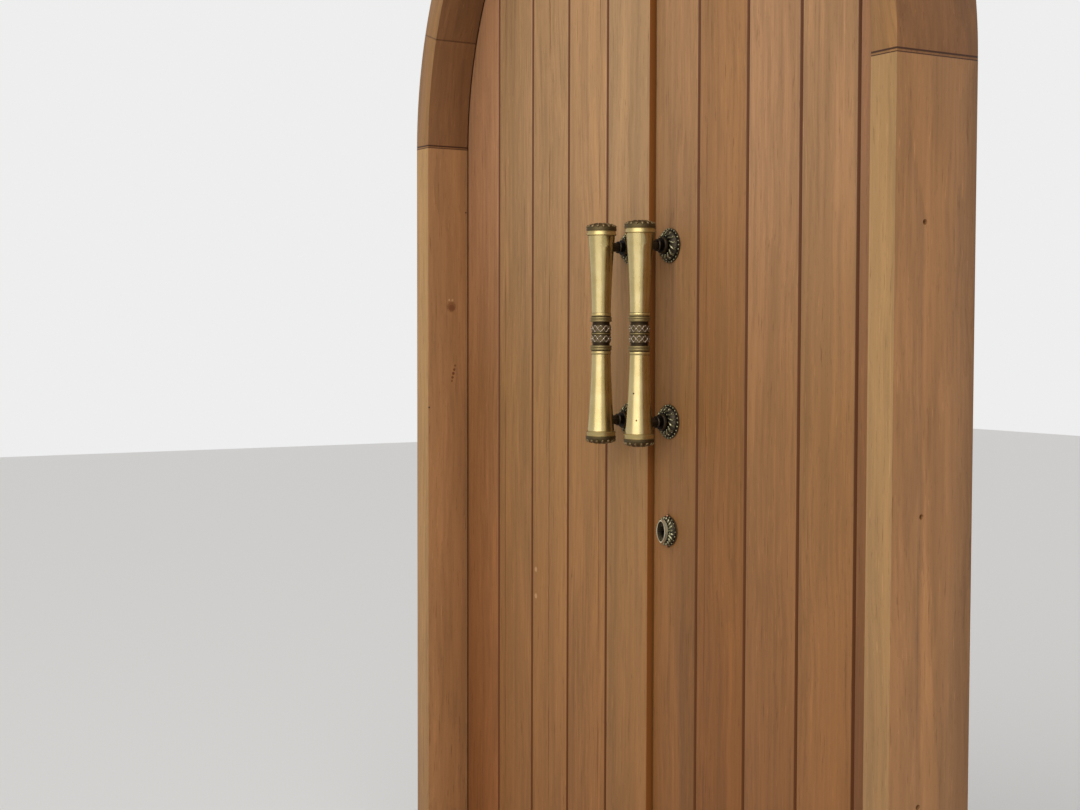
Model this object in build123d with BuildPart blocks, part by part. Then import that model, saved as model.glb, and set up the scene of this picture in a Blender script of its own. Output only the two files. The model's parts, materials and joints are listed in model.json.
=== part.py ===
"""A round-arched double door of solid timber, in its own frame.

+Z is up, +X is to the right seen from outside, and +Y goes into the building.
The origin is the centre of the sill's underside. Sizes are in millimetres.
"""

import math
import os

from build123d import *

os.makedirs("parts", exist_ok=True)

# Planks and leaves
PLANK_PITCH = 130.0
PLANKS = 5
FIRST_RIGHT_PLANK = 122.5
MEETING_GAP = 4.0
LEAF_THICKNESS = 45.0
LEAF_STEP = 12.0
BOTTOM_GAP = 6.0
V_JOINT = 4.5
MEETING_ARRIS = 1.2
TONGUE_LENGTH = 10.0
TONGUE_WIDTH = 9.0
TONGUE_CLEARANCE = 0.15

# Frame
SPRING_HEIGHT = 1675.0
FRAME_THICKNESS = 50.0
FRAME_DEPTH = 150.0
REVEAL_DEPTH = 92.0
REBATE = 12.0
LEAF_CLEARANCE = 3.0
STOP_GAP = 1.0
SEGMENTS_A_SIDE = 4
SEGMENT_ANGLE = 18.75
SILL_HEIGHT = 30.0
SILL_FALL = 5.0
TENON = (24.0, 70.0, 18.0)
DOWEL_RADIUS = 6.0
DOWEL_LENGTH = 60.0
DOWEL_SPACING = 50.0
ANCHOR_RADIUS = 4.0
ANCHOR_DEPTH = 32.0
ANCHOR_HEIGHTS = (250.0, 650.0, 1050.0, 1450.0)
ANCHOR_Y = -20.0

# Ledges across the inside of the leaves
LEDGE_HEIGHT = 110.0
LEDGE_THICKNESS = 22.0
LEDGE_INSET = 26.0
LEDGE_CHAMFER = 4.0
LEDGES = {"bottom": 230.0, "middle": 1298.0, "springing": 1720.0, "top": 2130.0}
SCREW_RADIUS = 2.5
SCREW_HEAD_RADIUS = 4.8
SCREW_HEAD_DEPTH = 2.8
LEDGE_SCREW_LENGTH = 50.0

# Hinges
HINGE_HEIGHTS = (230.0, 895.0, 1560.0)
HINGE_LENGTH = 100.0
HINGE_PLATE = 2.5
HINGE_WIDTH = 34.0
KNUCKLE_RADIUS = 6.5
KNUCKLES = 5
KNUCKLE_GAP = 0.4
KNUCKLE_CLEARANCE = 0.5
PIN_RADIUS = 3.0
PIN_CLEARANCE = 0.05
PIN_OUT = 8.0
PIN_TIP_RADIUS = 5.5
PIN_TIP_HEIGHT = 7.0
HINGE_SCREW_LENGTH = 30.0
HINGE_SCREW_SPACING = 60.0

# Pull handles
HANDLE_HEIGHT = 1298.0
HANDLE_X = {"left": -54.0, "right": 46.0}
HANDLE_STANDOFF = 63.0
HANDLE_LENGTH = 383.0
NECK_RADIUS = 16.75
FLARE_RADIUS = 23.4
FLARE_HOLLOW = 1.0
TUBE_WALL = 2.5
COLLAR_LENGTH = 72.0
COLLAR_RING_RADIUS = 18.6
COLLAR_END_RADIUS = 17.6
COLLAR_BAND_RADIUS = 16.4
COLLAR_GROOVE_RADIUS = 15.0
COLLAR_BEAD = 2.0
COLLAR_BAND = 13.5
COLLAR_GROOVE = 5.0
COLLAR_RING = 4.2
RING_SWELL = 0.9
CAP_RADIUS = 26.2
CAP_RING = 7.0
CAP_RING_SLOPE = 1.4
CAP_LIP = 3.0
CAP_DOME = 11.5
CAP_GROOVE = 1.0
CAP_SHOULDER = (24.3, 5.6)
CAP_CROWN = (19.5, 8.7)
SPIGOT_LENGTH = 12.0
SPIGOT_CLEARANCE = 0.6
POST_SPACING = 301.0
POST_RADIUS = 8.0
POST_SPIGOT_RADIUS = 5.0
POST_SPIGOT_LENGTH = 7.0
POST_RING_RADIUS = 10.6
POST_RING = (26.0, 29.5)
ROSETTE_RADIUS = 29.5
ROSETTE_EDGE = 2.6
ROSETTE_BULGE = (22.0, 9.4)
ROSETTE_COLLAR_RADIUS = 14.2
ROSETTE_COLLAR = (12.6, 20.6)
BOLT_RADIUS = 4.0
BOLT_CLEARANCE = 0.25
BOLT_IN_POST = 20.0
BOLT_HEAD_RADIUS = 8.0
BOLT_HEAD_HEIGHT = 6.0
WASHER_RADIUS = 11.0
WASHER_THICKNESS = 1.5

# Lock
KEYHOLE_X = 46.0
ESCUTCHEON_HEIGHT = 959.5
ESCUTCHEON_SIZE = (52.0, 52.0)
ESCUTCHEON_EDGE = 3.0
ESCUTCHEON_INSETS = (0.8, 3.6, 9.0)
OUTER_CROWN = 6.5
INNER_CROWN = 2.5
FINIAL_RADIUS = 2.6
KEY_COLLAR_SIZE = (25.0, 40.0)
KEY_COLLAR_HEIGHT = 17.0
KEY_COLLAR_WALL = 2.0
KEY_COLLAR_FLOOR = 4.0
EURO_RADIUS = 8.5
EURO_LENGTH = 33.0
EURO_WIDTH = 10.0
EURO_CLEARANCE = 0.2
CYLINDER_PROUD = 3.0
PLUG_RADIUS = 6.5
PLUG_CLEARANCE = 0.06
CAM_RADIUS = 15.0
CAM_WIDTH = 9.0
CAM_THICKNESS = 8.0
KEYWAY = (2.4, 8.5)
LOCK_DEPTH = 20.0
CASE_SIZE = (76.0, 16.0, 150.0)
CASE_WALL = 1.7
CASE_OVER_PLUG = 58.0
FOREND = (3.0, 20.0, 235.0)
DEADBOLT_HEIGHT = 26.0
DEADBOLT_LENGTH = 56.0
DEADBOLT_OVER_PLUG = 29.5
DEADBOLT_TRAVEL = 20.0
SLIDING_CLEARANCE = 0.3
STRIKE = (2.5, 20.0, 90.0)

# Flush bolts in the left leaf's edge
FLUSH_PLATE = (3.0, 20.0, 160.0)
FLUSH_PLATE_FROM_END = 20.0
FLUSH_ROD_RADIUS = 5.0
FLUSH_ROD_INSET = 12.0
FLUSH_ROD_LENGTH = 120.0
FLUSH_LUG = (7.0, 12.0)
FLUSH_TRAVEL = 20.0
FLUSH_SOCKET_DEPTH = 18.0
FLUSH_SLOT_SPARE = 1.5

# Sizes worked out from the ones above
SIDES = {"left": -1, "right": 1}
opening_half = MEETING_GAP / 2 + PLANKS * PLANK_PITCH
frame_half = opening_half + FRAME_THICKNESS
rebate_half = opening_half + REBATE
leaf_half = rebate_half - LEAF_CLEARANCE
leaf_bottom = SILL_HEIGHT + BOTTOM_GAP
leaf_edge = MEETING_GAP / 2
frame_front = -FRAME_DEPTH / 2
frame_back = FRAME_DEPTH / 2
leaf_front = {
    "left": frame_front + REVEAL_DEPTH,
    "right": frame_front + REVEAL_DEPTH + LEAF_STEP,
}
leaf_back = {side: y + LEAF_THICKNESS for side, y in leaf_front.items()}
pin_x = rebate_half - LEAF_CLEARANCE / 2
pin_y = {side: y + PIN_OUT for side, y in leaf_back.items()}
plug_z = ESCUTCHEON_HEIGHT + EURO_LENGTH / 2 - EURO_RADIUS
lock_y = leaf_front["right"] + LOCK_DEPTH
deadbolt_z = plug_z + DEADBOLT_OVER_PLUG
tube_end = HANDLE_LENGTH / 2 - CAP_GROOVE - CAP_RING - CAP_LIP - CAP_DOME - CAP_GROOVE / 2
flush_x = -(leaf_edge + FLUSH_ROD_INSET)
flush_y = leaf_front["left"] + LEAF_THICKNESS / 2


def facing(y):
    """A plane at depth y seen from outside. A negative extrude from it goes into the building."""
    return Plane.XZ.offset(-y)


def box_between(low, high, mode=Mode.ADD):
    """A box from its lowest to its highest corner, in whichever order the corners' values come."""
    low, high = [min(a, b) for a, b in zip(low, high)], [max(a, b) for a, b in zip(low, high)]
    centre = [(a + b) / 2 for a, b in zip(low, high)]
    with Locations(tuple(centre)):
        Box(high[0] - low[0], high[1] - low[1], high[2] - low[2], mode=mode)


def save(builder, name):
    builder.part.label = name
    export_step(builder.part, f"parts/{name}.step")


def arch_shape(radius, foot):
    """Adds the round-headed outline of the opening, at the given radius, to the open sketch."""
    with Locations((0, SPRING_HEIGHT)):
        Circle(radius)
    with Locations((0, foot)):
        Rectangle(2 * radius, SPRING_HEIGHT - foot, align=(Align.CENTER, Align.MIN))


def arch_height(radius, x):
    return SPRING_HEIGHT + math.sqrt(radius**2 - x**2)


def dome_arc(radius, foot, top):
    """Adds a ball-shaped dome's side line to the open line, from its rim to the turning axis."""
    height = top - foot
    ball = (radius**2 + height**2) / (2 * abs(height))
    drop = ball - math.sqrt(ball**2 - (radius / 2) ** 2)
    middle = top - math.copysign(drop, height)
    return ThreePointArc((radius, foot), (radius / 2, middle), (0, top))


def turning_plane(x, y, z):
    """A plane through a post's axis: its x is the radius, upwards, and its y is the way out."""
    return Plane(origin=(x, y, z), x_dir=(0, 0, 1), z_dir=(1, 0, 0))


def screw_shape(length):
    """A countersunk screw whose head lies at the origin and whose shank goes down -Z."""
    with BuildPart() as screw:
        with BuildSketch(Plane.XZ):
            with BuildLine():
                Polyline(
                    (0, 0),
                    (SCREW_HEAD_RADIUS, 0),
                    (SCREW_RADIUS, -SCREW_HEAD_DEPTH),
                    (SCREW_RADIUS, -length),
                    (0, -length),
                    close=True,
                )
            make_face()
        revolve(axis=Axis.Z)
    return screw.part


ledge_screw = screw_shape(LEDGE_SCREW_LENGTH)
hinge_screw = screw_shape(HINGE_SCREW_LENGTH)


# Frame


def joint_angles():
    """The angle of each joint of the arch, from the right springing round to the left one."""
    right = [i * SEGMENT_ANGLE for i in range(SEGMENTS_A_SIDE + 1)]
    return right + [180 - angle for angle in reversed(right)]


def dowel_places(angles):
    """The middle of each dowel across the joints at these angles, with its length along the arch."""
    radius = opening_half + FRAME_THICKNESS / 2
    places = []
    for angle in angles:
        c, s = math.cos(math.radians(angle)), math.sin(math.radians(angle))
        for y in (ANCHOR_Y - DOWEL_SPACING / 2, ANCHOR_Y + DOWEL_SPACING / 2):
            origin = (radius * c, y, SPRING_HEIGHT + radius * s)
            places.append(Plane(origin=origin, z_dir=(-s, 0, c)))
    return places


def bore_dowels(angles):
    with Locations(*dowel_places(angles)):
        Cylinder(DOWEL_RADIUS, DOWEL_LENGTH, mode=Mode.SUBTRACT)


def cut_rebates():
    """Cuts the rebate of each leaf out of the open part, from its stop to the frame's back."""
    for side, s in SIDES.items():
        stop = leaf_front[side] - STOP_GAP
        with BuildSketch(facing(stop)) as half:
            arch_shape(rebate_half, SILL_HEIGHT)
            with Locations((s * rebate_half, SPRING_HEIGHT)):
                Rectangle(2 * rebate_half, 4 * SPRING_HEIGHT, mode=Mode.INTERSECT)
        extrude(half.sketch, amount=-(frame_back - stop), mode=Mode.SUBTRACT)


def hinge_plate_corners(side, on_frame, z):
    """The low and high corners of one hinge plate, from its let-in end to its pin."""
    s = SIDES[side]
    face = rebate_half if on_frame else leaf_half
    inner = face if on_frame else face - HINGE_PLATE
    low = (s * inner, leaf_back[side] - HINGE_WIDTH, z - HINGE_LENGTH / 2)
    high = (s * (inner + HINGE_PLATE), pin_y[side], z + HINGE_LENGTH / 2)
    return low, high


def hinge_screw_places(side, on_frame):
    """Where the hinge screws' heads lie, each with its shank going into the wood."""
    s = SIDES[side]
    head = rebate_half if on_frame else leaf_half
    inward = -s if on_frame else s
    y = leaf_back[side] - HINGE_WIDTH / 2
    places = []
    for z in HINGE_HEIGHTS:
        for up in (-HINGE_SCREW_SPACING / 2, HINGE_SCREW_SPACING / 2):
            places.append(Plane(origin=(s * head, y, z + up), z_dir=(inward, 0, 0)))
    return places


def cut_hinge_gains(side, on_frame):
    """Lets the hinge plates, and on the frame their knuckles too, into the wood."""
    s = SIDES[side]
    for z in HINGE_HEIGHTS:
        low, high = hinge_plate_corners(side, on_frame, z)
        box_between(low, high, mode=Mode.SUBTRACT)
        knuckle_front = pin_y[side] - KNUCKLE_RADIUS - KNUCKLE_CLEARANCE
        if on_frame and knuckle_front < frame_back:
            reach = pin_x + KNUCKLE_RADIUS + KNUCKLE_CLEARANCE
            spare = HINGE_LENGTH / 2 + PIN_TIP_HEIGHT + KNUCKLE_CLEARANCE
            box_between(
                (s * opening_half, knuckle_front, z - spare),
                (s * reach, frame_back, z + spare),
                mode=Mode.SUBTRACT,
            )
    with Locations(*hinge_screw_places(side, on_frame)):
        add(hinge_screw, mode=Mode.SUBTRACT)


def tenon_corners(s):
    """The tenon on a jamb's foot, which fills its mortise in the sill."""
    middle = s * (opening_half + FRAME_THICKNESS / 2)
    half_x, half_y = TENON[0] / 2, TENON[1] / 2
    low = (middle - half_x, ANCHOR_Y - half_y, SILL_HEIGHT - TENON[2])
    high = (middle + half_x, ANCHOR_Y + half_y, SILL_HEIGHT)
    return low, high


def jamb(side):
    s = SIDES[side]
    with BuildPart() as post:
        box_between(
            (s * opening_half, frame_front, SILL_HEIGHT),
            (s * frame_half, frame_back, SPRING_HEIGHT),
        )
        box_between(*tenon_corners(s))
        cut_rebates()
        bore_dowels([0 if s > 0 else 180])
        anchors = [
            Plane(origin=(s * frame_half, ANCHOR_Y, z), z_dir=(s, 0, 0)) for z in ANCHOR_HEIGHTS
        ]
        with Locations(*anchors):
            Hole(ANCHOR_RADIUS, ANCHOR_DEPTH)
        cut_hinge_gains(side, True)
    save(post, f"{side}_jamb")


def arch_segments():
    """The sawn segments of the arched head, numbered from the left springing to the right one."""
    angles = list(reversed(joint_angles()))
    for number, (start, end) in enumerate(zip(angles, angles[1:]), 1):
        with BuildPart() as segment:
            with BuildSketch(facing(frame_front)):
                with BuildLine():
                    outer = CenterArc((0, SPRING_HEIGHT), frame_half, end, start - end)
                    inner = CenterArc((0, SPRING_HEIGHT), opening_half, end, start - end)
                    Line(outer @ 0, inner @ 0)
                    Line(outer @ 1, inner @ 1)
                make_face()
            extrude(amount=-FRAME_DEPTH)
            cut_rebates()
            bore_dowels([start, end])
            if end < 90 < start:
                top = SPRING_HEIGHT + rebate_half + FLUSH_SOCKET_DEPTH
                with Locations((flush_x, flush_y, top)):
                    Cylinder(
                        FLUSH_ROD_RADIUS + SLIDING_CLEARANCE,
                        2 * FLUSH_SOCKET_DEPTH,
                        align=(Align.CENTER, Align.CENTER, Align.MAX),
                        mode=Mode.SUBTRACT,
                    )
        save(segment, f"arch_segment_{number}")


def sill():
    with BuildPart() as board:
        box_between(
            (-frame_half, frame_front, 0),
            (frame_half, frame_back, SILL_HEIGHT),
        )
        for s in SIDES.values():
            box_between(*tenon_corners(s), mode=Mode.SUBTRACT)
        with BuildSketch(Plane.YZ.offset(-opening_half)):
            with BuildLine():
                Polyline(
                    (frame_front, SILL_HEIGHT - SILL_FALL),
                    (leaf_front["left"] - STOP_GAP, SILL_HEIGHT),
                    (frame_front, SILL_HEIGHT),
                    close=True,
                )
            make_face()
        extrude(amount=2 * opening_half, mode=Mode.SUBTRACT)
        with Locations((flush_x, flush_y, SILL_HEIGHT)):
            Cylinder(
                FLUSH_ROD_RADIUS + SLIDING_CLEARANCE,
                FLUSH_SOCKET_DEPTH,
                align=(Align.CENTER, Align.CENTER, Align.MAX),
                mode=Mode.SUBTRACT,
            )
    save(board, "sill")


def frame_dowels():
    with BuildPart() as dowels:
        with Locations(*dowel_places(joint_angles())):
            Cylinder(DOWEL_RADIUS, DOWEL_LENGTH)
    save(dowels, "frame_dowels")


# Leaves


def plank_edges(side):
    """How far each plank joint of a leaf lies from the door's centre line, meeting edge first."""
    first = PLANK_PITCH if side == "left" else FIRST_RIGHT_PLANK
    joints = [leaf_edge + first + i * PLANK_PITCH for i in range(PLANKS - 1)]
    return [leaf_edge] + joints + [leaf_half]


def ledge_reaches(x, z):
    """True where a ledge at height z still covers the place x under the arch."""
    rise = max(z + LEDGE_HEIGHT / 2 - SPRING_HEIGHT, 0)
    return math.hypot(x, rise) < leaf_half - LEDGE_INSET - SCREW_HEAD_RADIUS


def ledge_screw_places(side):
    """Where the ledge screws' heads lie on the inside, one to each plank that a ledge crosses."""
    s = SIDES[side]
    back = leaf_back[side] + LEDGE_THICKNESS
    edges = plank_edges(side)
    places = []
    for z in LEDGES.values():
        for a, b in zip(edges, edges[1:]):
            x = (a + b) / 2
            if ledge_reaches(x, z):
                places.append(Plane(origin=(s * x, back, z), z_dir=(0, 1, 0)))
    return places


def handle_posts(side):
    """The two places on a leaf's face where the handle's posts stand."""
    ends = (-POST_SPACING / 2, POST_SPACING / 2)
    return [(HANDLE_X[side], leaf_front[side], HANDLE_HEIGHT + up) for up in ends]


def bore_handle_holes(side):
    planes = [Plane(origin=place, z_dir=(0, -1, 0)) for place in handle_posts(side)]
    with Locations(*planes):
        Hole(BOLT_RADIUS + BOLT_CLEARANCE, LEAF_THICKNESS)


def euro_profile(spare=0.0):
    """Adds a profile cylinder's outline, round above a narrow leg, to the open sketch."""
    with Locations((KEYHOLE_X, plug_z)):
        Circle(EURO_RADIUS + spare)
    leg = EURO_LENGTH - EURO_RADIUS - EURO_WIDTH / 2
    with Locations((KEYHOLE_X, plug_z - leg / 2)):
        Rectangle(EURO_WIDTH + 2 * spare, leg)
    with Locations((KEYHOLE_X, plug_z - leg)):
        Circle(EURO_WIDTH / 2 + spare)


def case_corners(spare=0.0):
    """The lock case's corners, behind its forend."""
    front = leaf_edge + FOREND[0]
    top = plug_z + CASE_OVER_PLUG
    low = (front, lock_y - CASE_SIZE[1] / 2 - spare, top - CASE_SIZE[2] - spare)
    high = (front + CASE_SIZE[0] + spare, lock_y + CASE_SIZE[1] / 2 + spare, top + spare)
    return low, high


def forend_corners():
    middle = plug_z + CASE_OVER_PLUG - CASE_SIZE[2] / 2
    low = (leaf_edge, lock_y - FOREND[1] / 2, middle - FOREND[2] / 2)
    high = (leaf_edge + FOREND[0], lock_y + FOREND[1] / 2, middle + FOREND[2] / 2)
    return low, high


def cut_lock_mortise():
    box_between(*case_corners(SLIDING_CLEARANCE), mode=Mode.SUBTRACT)
    box_between(*forend_corners(), mode=Mode.SUBTRACT)
    with BuildSketch(facing(leaf_front["right"])) as keyhole:
        euro_profile(EURO_CLEARANCE)
    extrude(keyhole.sketch, amount=-LEAF_THICKNESS, mode=Mode.SUBTRACT)


def strike_corners():
    low = (-leaf_edge, lock_y - STRIKE[1] / 2, deadbolt_z - STRIKE[2] / 2)
    high = (-leaf_edge - STRIKE[0], lock_y + STRIKE[1] / 2, deadbolt_z + STRIKE[2] / 2)
    return low, high


def bolt_hole_corners(reach):
    """The hole that the deadbolt shoots into, from the left leaf's edge to its reach."""
    half_y = CASE_SIZE[1] / 2 - CASE_WALL
    half_z = DEADBOLT_HEIGHT / 2 + SLIDING_CLEARANCE
    low = (-leaf_edge, lock_y - half_y, deadbolt_z - half_z)
    high = (-leaf_edge - reach, lock_y + half_y, deadbolt_z + half_z)
    return low, high


def cut_strike():
    box_between(*strike_corners(), mode=Mode.SUBTRACT)
    box_between(*bolt_hole_corners(DEADBOLT_TRAVEL + 2), mode=Mode.SUBTRACT)


def flush_ends():
    """For each flush bolt, the leaf's end at its rod and which way the bolt shoots."""
    top = arch_height(leaf_half, flush_x - FLUSH_ROD_RADIUS) - SLIDING_CLEARANCE
    return {"bottom": (leaf_bottom + SLIDING_CLEARANCE, -1), "top": (top, 1)}


def flush_lug(end, way):
    """The height of a flush bolt's thumb lug at rest."""
    return end - way * (FLUSH_ROD_LENGTH - FLUSH_LUG[1] / 2)


def cut_flush_bolts():
    radius = FLUSH_ROD_RADIUS + SLIDING_CLEARANCE
    half = FLUSH_LUG[0] / 2 + SLIDING_CLEARANCE
    for end, way in flush_ends().values():
        inner = end - way * (FLUSH_ROD_LENGTH + FLUSH_SLOT_SPARE)
        middle = (inner + end + way * BOTTOM_GAP) / 2
        with Locations((flush_x, flush_y, middle)):
            Cylinder(radius, abs(end + way * BOTTOM_GAP - inner), mode=Mode.SUBTRACT)
        near = end - way * FLUSH_PLATE_FROM_END
        far = near - way * FLUSH_PLATE[2]
        box_between(
            (-leaf_edge, flush_y - FLUSH_PLATE[1] / 2, near),
            (-leaf_edge - FLUSH_PLATE[0], flush_y + FLUSH_PLATE[1] / 2, far),
            mode=Mode.SUBTRACT,
        )
        low, high = lug_slot(end, way)
        box_between(
            (-leaf_edge, flush_y - half, low),
            (flush_x, flush_y + half, high),
            mode=Mode.SUBTRACT,
        )


def lug_slot(end, way):
    """The two ends of the slot that a thumb lug slides in."""
    lug = flush_lug(end, way)
    spare = FLUSH_LUG[1] / 2 + FLUSH_SLOT_SPARE
    return lug - way * spare, lug + way * (spare + FLUSH_TRAVEL)


def plank(side, name, x_in, x_out):
    """A tongued and grooved plank with V-jointed face edges, cut to the arch at its top."""
    s = SIDES[side]
    front = leaf_front[side]
    at_meeting = x_in == leaf_edge
    at_hinge = x_out == leaf_half
    tongue_y = front + LEAF_THICKNESS / 2
    with BuildPart() as board:
        box_between(
            (s * x_in, front, leaf_bottom),
            (s * x_out, front + LEAF_THICKNESS, SPRING_HEIGHT + leaf_half),
        )
        face_edges = board.edges().filter_by(Axis.Z).group_by(Axis.Y)[0].sort_by(Axis.X)
        inner, outer = face_edges if s > 0 else reversed(face_edges)
        chamfer(inner, MEETING_ARRIS if at_meeting else V_JOINT)
        if not at_hinge:
            chamfer(outer, V_JOINT)
            half = TONGUE_WIDTH / 2
            box_between(
                (s * x_out, tongue_y - half, leaf_bottom),
                (s * (x_out + TONGUE_LENGTH), tongue_y + half, SPRING_HEIGHT + leaf_half),
            )
        if not at_meeting:
            half = TONGUE_WIDTH / 2 + TONGUE_CLEARANCE
            box_between(
                (s * x_in, tongue_y - half, leaf_bottom),
                (
                    s * (x_in + TONGUE_LENGTH + 2 * TONGUE_CLEARANCE),
                    tongue_y + half,
                    SPRING_HEIGHT + leaf_half,
                ),
                mode=Mode.SUBTRACT,
            )
        with BuildSketch(facing(front)):
            arch_shape(leaf_half, leaf_bottom)
        extrude(amount=-LEAF_THICKNESS, mode=Mode.INTERSECT)
        here = [p for p in ledge_screw_places(side) if x_in < s * p.origin.X < x_out]
        with Locations(*here):
            add(ledge_screw, mode=Mode.SUBTRACT)
        if at_hinge:
            cut_hinge_gains(side, False)
        if at_meeting:
            bore_handle_holes(side)
            if side == "left":
                cut_strike()
                cut_flush_bolts()
            else:
                cut_lock_mortise()
    save(board, name)


def planks(side):
    """All planks of a leaf, numbered from left to right seen from outside."""
    edges = plank_edges(side)
    pairs = list(zip(edges, edges[1:]))
    if side == "left":
        pairs.reverse()
    for number, (x_in, x_out) in enumerate(pairs, 1):
        plank(side, f"{side}_plank_{number}", x_in, x_out)


def ledge(side, name, z):
    """A ledge across the inside of a leaf, with chamfered arrises and ends cut to the arch."""
    s = SIDES[side]
    back = leaf_back[side]
    with BuildPart() as rail:
        with BuildSketch(facing(back)):
            arch_shape(leaf_half - LEDGE_INSET, leaf_bottom)
            with Locations((s * (leaf_edge + LEDGE_INSET), z)):
                to_hinge = Align.MIN if s > 0 else Align.MAX
                Rectangle(
                    leaf_half,
                    LEDGE_HEIGHT,
                    align=(to_hinge, Align.CENTER),
                    mode=Mode.INTERSECT,
                )
        extrude(amount=-LEDGE_THICKNESS)
        chamfer(rail.faces().sort_by(Axis.Y)[-1].edges(), LEDGE_CHAMFER)
        here = [p for p in ledge_screw_places(side) if p.origin.Z == z]
        with Locations(*here):
            add(ledge_screw, mode=Mode.SUBTRACT)
    save(rail, f"{side}_ledge_{name}")


def leaf_screws(side):
    with BuildPart() as screws:
        with Locations(*ledge_screw_places(side)):
            add(ledge_screw)
        with Locations(*hinge_screw_places(side, False)):
            add(hinge_screw)
    save(screws, f"{side}_leaf_screws")


# Hinges


def knuckle_heights(on_frame):
    """The middle of each knuckle, from the hinge's own middle. The frame has the outer ones."""
    pitch = HINGE_LENGTH / KNUCKLES
    first = -HINGE_LENGTH / 2 + pitch / 2
    start = 0 if on_frame else 1
    return [first + i * pitch for i in range(start, KNUCKLES, 2)]


def hinge_half(side, on_frame, z):
    """Adds one half of a butt hinge to the open part: its plate, its knuckles and its pin hole."""
    s = SIDES[side]
    pitch = HINGE_LENGTH / KNUCKLES
    box_between(*hinge_plate_corners(side, on_frame, z))
    for up in knuckle_heights(not on_frame):
        reach = KNUCKLE_RADIUS + KNUCKLE_CLEARANCE
        half = pitch / 2
        box_between(
            (s * pin_x - reach, pin_y[side] - reach, z + up - half),
            (s * pin_x + reach, pin_y[side] + reach, z + up + half),
            mode=Mode.SUBTRACT,
        )
    for up in knuckle_heights(on_frame):
        with Locations((s * pin_x, pin_y[side], z + up)):
            Cylinder(KNUCKLE_RADIUS, pitch - KNUCKLE_GAP)
    with Locations((s * pin_x, pin_y[side], z)):
        Cylinder(PIN_RADIUS + PIN_CLEARANCE, HINGE_LENGTH, mode=Mode.SUBTRACT)


def hinge_plates(name, sides, on_frame):
    with BuildPart() as plates:
        for side in sides:
            for z in HINGE_HEIGHTS:
                hinge_half(side, on_frame, z)
            with Locations(*hinge_screw_places(side, on_frame)):
                add(hinge_screw, mode=Mode.SUBTRACT)
    save(plates, name)


def hinge_pins():
    """Loose pins with a turned tip at each end, which keeps the pin in its knuckles."""
    half = HINGE_LENGTH / 2
    with BuildPart() as pins:
        for side, s in SIDES.items():
            for z in HINGE_HEIGHTS:
                centre = (s * pin_x, pin_y[side], z)
                with BuildSketch(Plane(origin=centre, x_dir=(1, 0, 0), z_dir=(0, -1, 0))):
                    with BuildLine():
                        Polyline(
                            (0, half + PIN_TIP_HEIGHT),
                            (PIN_RADIUS, half + PIN_TIP_HEIGHT * 0.8),
                            (PIN_TIP_RADIUS, half + PIN_TIP_HEIGHT * 0.4),
                            (PIN_TIP_RADIUS, half),
                            (PIN_RADIUS, half),
                            (PIN_RADIUS, -half),
                            (PIN_TIP_RADIUS, -half),
                            (PIN_TIP_RADIUS, -half - PIN_TIP_HEIGHT * 0.4),
                            (PIN_RADIUS, -half - PIN_TIP_HEIGHT * 0.8),
                            (0, -half - PIN_TIP_HEIGHT),
                            close=True,
                        )
                    make_face()
                revolve(axis=Axis(centre, (0, 0, 1)))
    save(pins, "hinge_pins")


def frame_hinge_screws():
    with BuildPart() as screws:
        for side in SIDES:
            with Locations(*hinge_screw_places(side, True)):
                add(hinge_screw)
    save(screws, "frame_hinge_screws")


# Pull handles


def handle_centre(side):
    return HANDLE_X[side], leaf_front[side] - HANDLE_STANDOFF, HANDLE_HEIGHT


def handle_plane(side, up):
    """A plane through the handle's axis: its x is the radius, and its y runs to the given end."""
    x_dir = (1, 0, 0) if up > 0 else (-1, 0, 0)
    return Plane(origin=handle_centre(side), x_dir=x_dir, z_dir=(0, -1, 0))


def handle_axis(side):
    return Axis(handle_centre(side), (0, 0, 1))


def flare(radius_cut=0.0):
    """Adds the side line of a handle tube, from its neck to its end, to the open line."""
    neck = (NECK_RADIUS - radius_cut, COLLAR_LENGTH / 2)
    end = (FLARE_RADIUS - radius_cut, tube_end)
    middle = (
        (neck[0] + end[0]) / 2 - FLARE_HOLLOW,
        (neck[1] + end[1]) / 2,
    )
    return ThreePointArc(neck, middle, end)


def add_tube(side, up, wall):
    """Adds a handle tube to the open part. A wall of None makes it solid, to cut a saddle with."""
    with BuildSketch(handle_plane(side, up)) as half:
        with BuildLine():
            outer = flare()
            if wall is None:
                Polyline(outer @ 0, (0, COLLAR_LENGTH / 2), (0, tube_end), outer @ 1)
            else:
                inner = flare(wall)
                Line(outer @ 0, inner @ 0)
                Line(outer @ 1, inner @ 1)
        make_face()
    revolve(half.sketch, axis=handle_axis(side), mode=Mode.ADD if wall else Mode.SUBTRACT)


def handle_tube(side, name, up):
    with BuildPart() as tube:
        add_tube(side, up, TUBE_WALL)
        x, y, z = handle_centre(side)
        with Locations(Plane(origin=(x, y, z + up * POST_SPACING / 2), z_dir=(0, 1, 0))):
            Cylinder(
                POST_SPIGOT_RADIUS,
                2 * FLARE_RADIUS,
                align=(Align.CENTER, Align.CENTER, Align.MIN),
                mode=Mode.SUBTRACT,
            )
    save(tube, f"{side}_handle_{name}_tube")


def ring_line(radius, foot, top):
    """Adds a ring's swelling side line, from one height to another, to the open line."""
    edge = radius - RING_SWELL
    return ThreePointArc((edge, foot), (radius, (foot + top) / 2), (edge, top))


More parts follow.
